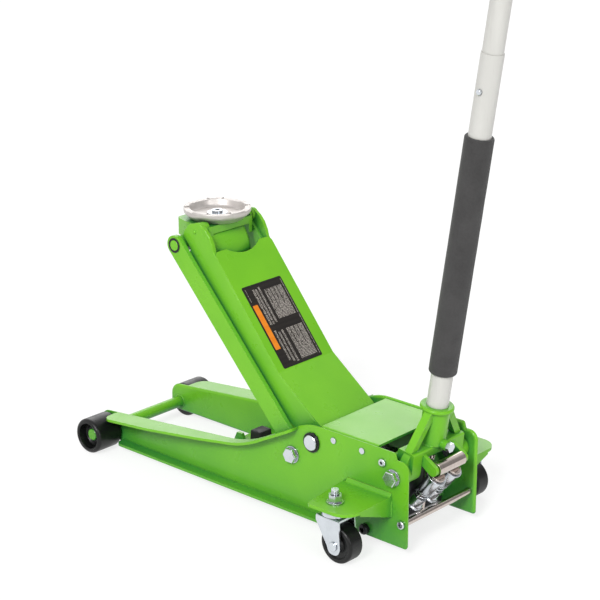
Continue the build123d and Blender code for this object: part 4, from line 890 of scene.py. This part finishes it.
def add_pump_springs():
    """Return spring of each plunger with its washer, sleeve and cup."""
    running_gap, seat_gap, pad, sleeve = 0.0003, 0.0002, 0.0045, 0.013
    pad_top = (ROLLER - SOCKET).dot(PUMP_UP) - half_size("pump_roller").z - running_gap
    pad_foot = pad_top - pad
    washer_top = pad_foot - sleeve
    hexagon_top = -0.060
    wire, coil = 0.0009, 0.0100
    turns, steps = 9, 28
    top = washer_top - WASHER - wire
    foot = hexagon_top + wire + seat_gap
    climb = PUMP_UP * ((top - foot) / turns)
    for side in ("left", "right"):
        plunger = f"plunger_{side}"
        axis = plunger_axis(f"pump_{plunger}")
        add_turned_piece(f"spring_washer_{side}", axis, spring_washer_profile(washer_top), 40, plunger)
        add_turned_piece(f"spring_sleeve_{side}", axis, spring_sleeve_profile(hexagon_top), 48, "chassis")
        add_turned_piece(f"spring_cup_{side}", axis, spring_cup_profile(pad_foot), 48, plunger)
        start = axis + PUMP_UP * foot
        points = helix_points(start, climb, *side_vectors(PUMP_UP), coil, steps, turns * steps + 1)
        mesh = bmesh.new()
        tube(mesh, points, wire)
        piece = add_piece(f"pump_spring_{side}", mesh, "chassis", "zinc")
        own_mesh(piece)


# ---------------------------------------------------------------- small hardware
def add_kingpin_threads():
    """Screw thread on the kingpins' ends, above their nuts."""
    pin_radius, ridge, pitch, steps = 0.006, 0.00045, 0.0015, 24
    start_gap, end_gap = 0.0004, 0.001
    nut_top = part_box("caster_nuts")[1].z
    pin_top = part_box("caster_kingpins")[1].z
    count = round((pin_top - nut_top - end_gap) / pitch * steps)
    mesh = bmesh.new()
    for side in ("left", "right"):
        swivel = Vector(joint(f"caster_{side}_swivel")["pos_m"])
        foot = Vector((swivel.x, swivel.y, nut_top + start_gap))
        points = helix_points(foot, UP * pitch, FORWARD, LEFT, pin_radius, steps, count)
        tube(mesh, points, ridge, sides=6)
    add_piece("kingpin_threads", mesh, "chassis", "zinc")


def add_caster_balls():
    """Ring of balls between each caster's bearing cups."""
    ball, ring_radius, count = 0.0016, 0.0165, 16
    crown_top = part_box("caster_fork_left")[1].z
    race_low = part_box("caster_races")[0].z
    height = (crown_top + race_low) / 2
    for side in ("left", "right"):
        swivel = Vector(joint(f"caster_{side}_swivel")["pos_m"])
        middle = Vector((swivel.x, swivel.y, height))
        mesh = bmesh.new()
        for point in ring_points(middle, FORWARD, LEFT, ring_radius, count):
            place = Matrix.Translation(point)
            bmesh.ops.create_icosphere(mesh, subdivisions=2, radius=ball, matrix=place)
        add_piece(f"caster_balls_{side}", mesh, "chassis", "bright_steel")


def add_circlip_ears():
    """Plier eyes of the spring rings on the main shaft."""
    eye, hole, thickness = 0.0028, 0.0011, 0.0022
    gap_angle, lean, stand_off = 118, 14, 0.0004
    reach = half_size("main_shaft").z + eye * 0.75
    profile = [(0, hole), (0, eye), (thickness, eye), (thickness, hole)]
    mesh = bmesh.new()
    for side in (-1, 1):
        shaft = Vector((PIVOT.x, side * (OUTER_FACE + stand_off), PIVOT.z))
        for turn in (-lean, lean):
            origin = shaft + outward(FORWARD, UP, math.radians(gap_angle + turn)) * reach
            lathe(mesh, origin, LEFT * side, profile, 20, closed=True)
    add_piece("circlip_ears", mesh, "chassis", "black_oxide")


def add_tread_lines():
    """Moulding line round the middle of each wheel's tread."""
    half_width, depth, sunk = 0.0004, 0.0004, 0.00002
    for kind in ("front", "caster"):
        for side in ("left", "right"):
            node = f"{kind}_wheel_{side}"
            radius = half_size(node).z
            foot = radius - depth
            profile = [(-half_width, foot), (0, radius - sunk), (half_width, foot)]
            mesh = bmesh.new()
            lathe(mesh, centre(node), LEFT, profile, 96, closed=True)
            name = f"{node}_moulding_line"
            add_piece(name, mesh, f"{kind}_roller_{side}", "black_nylon")


# ---------------------------------------------------------------- studio
def grey(level):
    return (level, level, level, 1)


def seen_rays(tree):
    """1 for rays from the camera, and for rays reflected or let through."""
    path = add_node(tree, "ShaderNodeLightPath")
    total = path.outputs["Is Camera Ray"]
    for name in ("Is Glossy Ray", "Is Transmission Ray"):
        inputs = {0: total, 1: path.outputs[name]}
        total = add_node(tree, "ShaderNodeMath", inputs, operation="MAXIMUM").outputs[0]
    return total


def make_floor_material():
    """Pale for the light that it bounces, and white to the seen rays, darker where a shadow falls."""
    material = bpy.data.materials.new("floor")
    material.use_nodes = True
    tree = material.node_tree
    tree.nodes.clear()
    pale = add_node(tree, "ShaderNodeBsdfDiffuse", {0: grey(0.78)})
    shaded = add_node(tree, "ShaderNodeBsdfDiffuse", {0: grey(0.3)})
    glow = add_node(tree, "ShaderNodeEmission", {"Strength": 0.76})
    white = add_node(tree, "ShaderNodeAddShader", {0: shaded.outputs[0], 1: glow.outputs[0]})
    inputs = {0: seen_rays(tree), 1: pale.outputs[0], 2: white.outputs[0]}
    choose = add_node(tree, "ShaderNodeMixShader", inputs)
    add_node(tree, "ShaderNodeOutputMaterial", {0: choose.outputs[0]})
    return material


def add_floor():
    """Pale floor: white to the camera and in reflections, with the jack's soft shadow on it."""
    half = 30.0
    mesh = bmesh.new()
    corners = ((-half, -half), (half, -half), (half, half), (-half, half))
    mesh.faces.new([mesh.verts.new((x, y, 0)) for x, y in corners])
    data = bpy.data.meshes.new("floor")
    mesh.to_mesh(data)
    mesh.free()
    floor = bpy.data.objects.new("floor", data)
    bpy.context.scene.collection.objects.link(floor)
    data.materials.append(make_floor_material())


def add_world():
    """White backdrop, dimmer towards the jack's rear in reflections; a soft dome lights the jack."""
    world = bpy.data.worlds.new("studio")
    bpy.context.scene.world = world
    world.use_nodes = True
    tree = world.node_tree
    tree.nodes.clear()
    direction = add_node(tree, "ShaderNodeTexCoord").outputs["Generated"]

    height = add_node(tree, "ShaderNodeSeparateXYZ", {0: direction}).outputs[2]
    levels = {0: height, 1: -0.2, 2: 0.9, 3: 0.30, 4: 0.62}  # from below to overhead
    dome_level = add_node(tree, "ShaderNodeMapRange", levels).outputs[0]
    dome = add_node(tree, "ShaderNodeBackground", {1: dome_level}).outputs[0]

    dim_side = Vector((-0.95, 0.1, 0.2)).normalized()
    inputs = {0: direction, 1: dim_side}
    rearward = add_node(tree, "ShaderNodeVectorMath", inputs, operation="DOT_PRODUCT")
    levels = {0: rearward.outputs["Value"], 1: 0.12, 2: 0.45, 3: 1.0, 4: 0.34}  # from white to dim
    mirror_level = add_node(tree, "ShaderNodeMapRange", levels).outputs[0]
    mirrored = add_node(tree, "ShaderNodeBackground", {0: grey(1), 1: mirror_level}).outputs[0]

    backdrop = add_node(tree, "ShaderNodeBackground", {0: grey(1), 1: 1.0}).outputs[0]
    is_camera = add_node(tree, "ShaderNodeLightPath").outputs["Is Camera Ray"]
    seen = add_node(tree, "ShaderNodeMixShader", {0: is_camera, 1: mirrored, 2: backdrop}).outputs[0]
    choose = add_node(tree, "ShaderNodeMixShader", {0: seen_rays(tree), 1: dome, 2: seen})
    add_node(tree, "ShaderNodeOutputWorld", {0: choose.outputs[0]})


def add_sun(name, towards, strength, softness):
    """A broad soft lamp whose light travels along a direction; softness is its angle in degrees."""
    data = bpy.data.lights.new(name, "SUN")
    data.energy = strength
    data.angle = math.radians(softness)
    lamp = bpy.data.objects.new(name, data)
    bpy.context.scene.collection.objects.link(lamp)
    lamp.rotation_mode = "QUATERNION"
    lamp.rotation_quaternion = Vector(towards).to_track_quat("-Z", "Y")


def add_camera():
    """Camera of the reference view, set from the floor point below the arm's pivot."""
    offset = Vector((-1.7460, 2.0396, 1.2468))
    yaw, pitch, roll = math.radians(47.82), math.radians(18.56), math.radians(0.066)
    data = bpy.data.cameras.new("camera")
    data.sensor_width = 36.0
    data.lens = 109.9
    camera = bpy.data.objects.new("camera", data)
    bpy.context.scene.collection.objects.link(camera)
    level_forward = Vector((math.cos(yaw), -math.sin(yaw), 0))
    forward = level_forward * math.cos(pitch) - UP * math.sin(pitch)
    level_right = forward.cross(UP).normalized()
    level_down = forward.cross(level_right)
    right = level_right * math.cos(roll) + level_down * math.sin(roll)
    up = right.cross(forward)
    axes = Matrix([list(right), list(up), list(-forward)]).transposed().to_4x4()
    camera.matrix_world = Matrix.Translation(Vector((PIVOT.x, 0, 0)) + offset) @ axes
    bpy.context.scene.camera = camera


def set_studio():
    add_floor()
    add_world()
    add_sun("key", (0.28, -0.78, -0.62), strength=2.05, softness=18)
    add_sun("rear", (0.88, -0.25, -0.42), strength=0.8, softness=30)
    add_sun("far_fill", (-0.6, 0.6, -0.5), strength=0.6, softness=40)
    add_camera()
    bpy.context.scene.view_settings.view_transform = "Standard"


# ---------------------------------------------------------------- the whole scene
dress_cad_nodes()
add_foam_grip()
add_arm_sides()
add_arm_pin_ends()
add_yoke_skirt()
add_decal()
add_axle_welds()
add_crossmember_welds()
add_bracket_welds()
add_hub_welds()
add_column_welds()
add_pump_springs()
add_kingpin_threads()
add_caster_balls()
add_circlip_ears()
add_tread_lines()
set_studio()
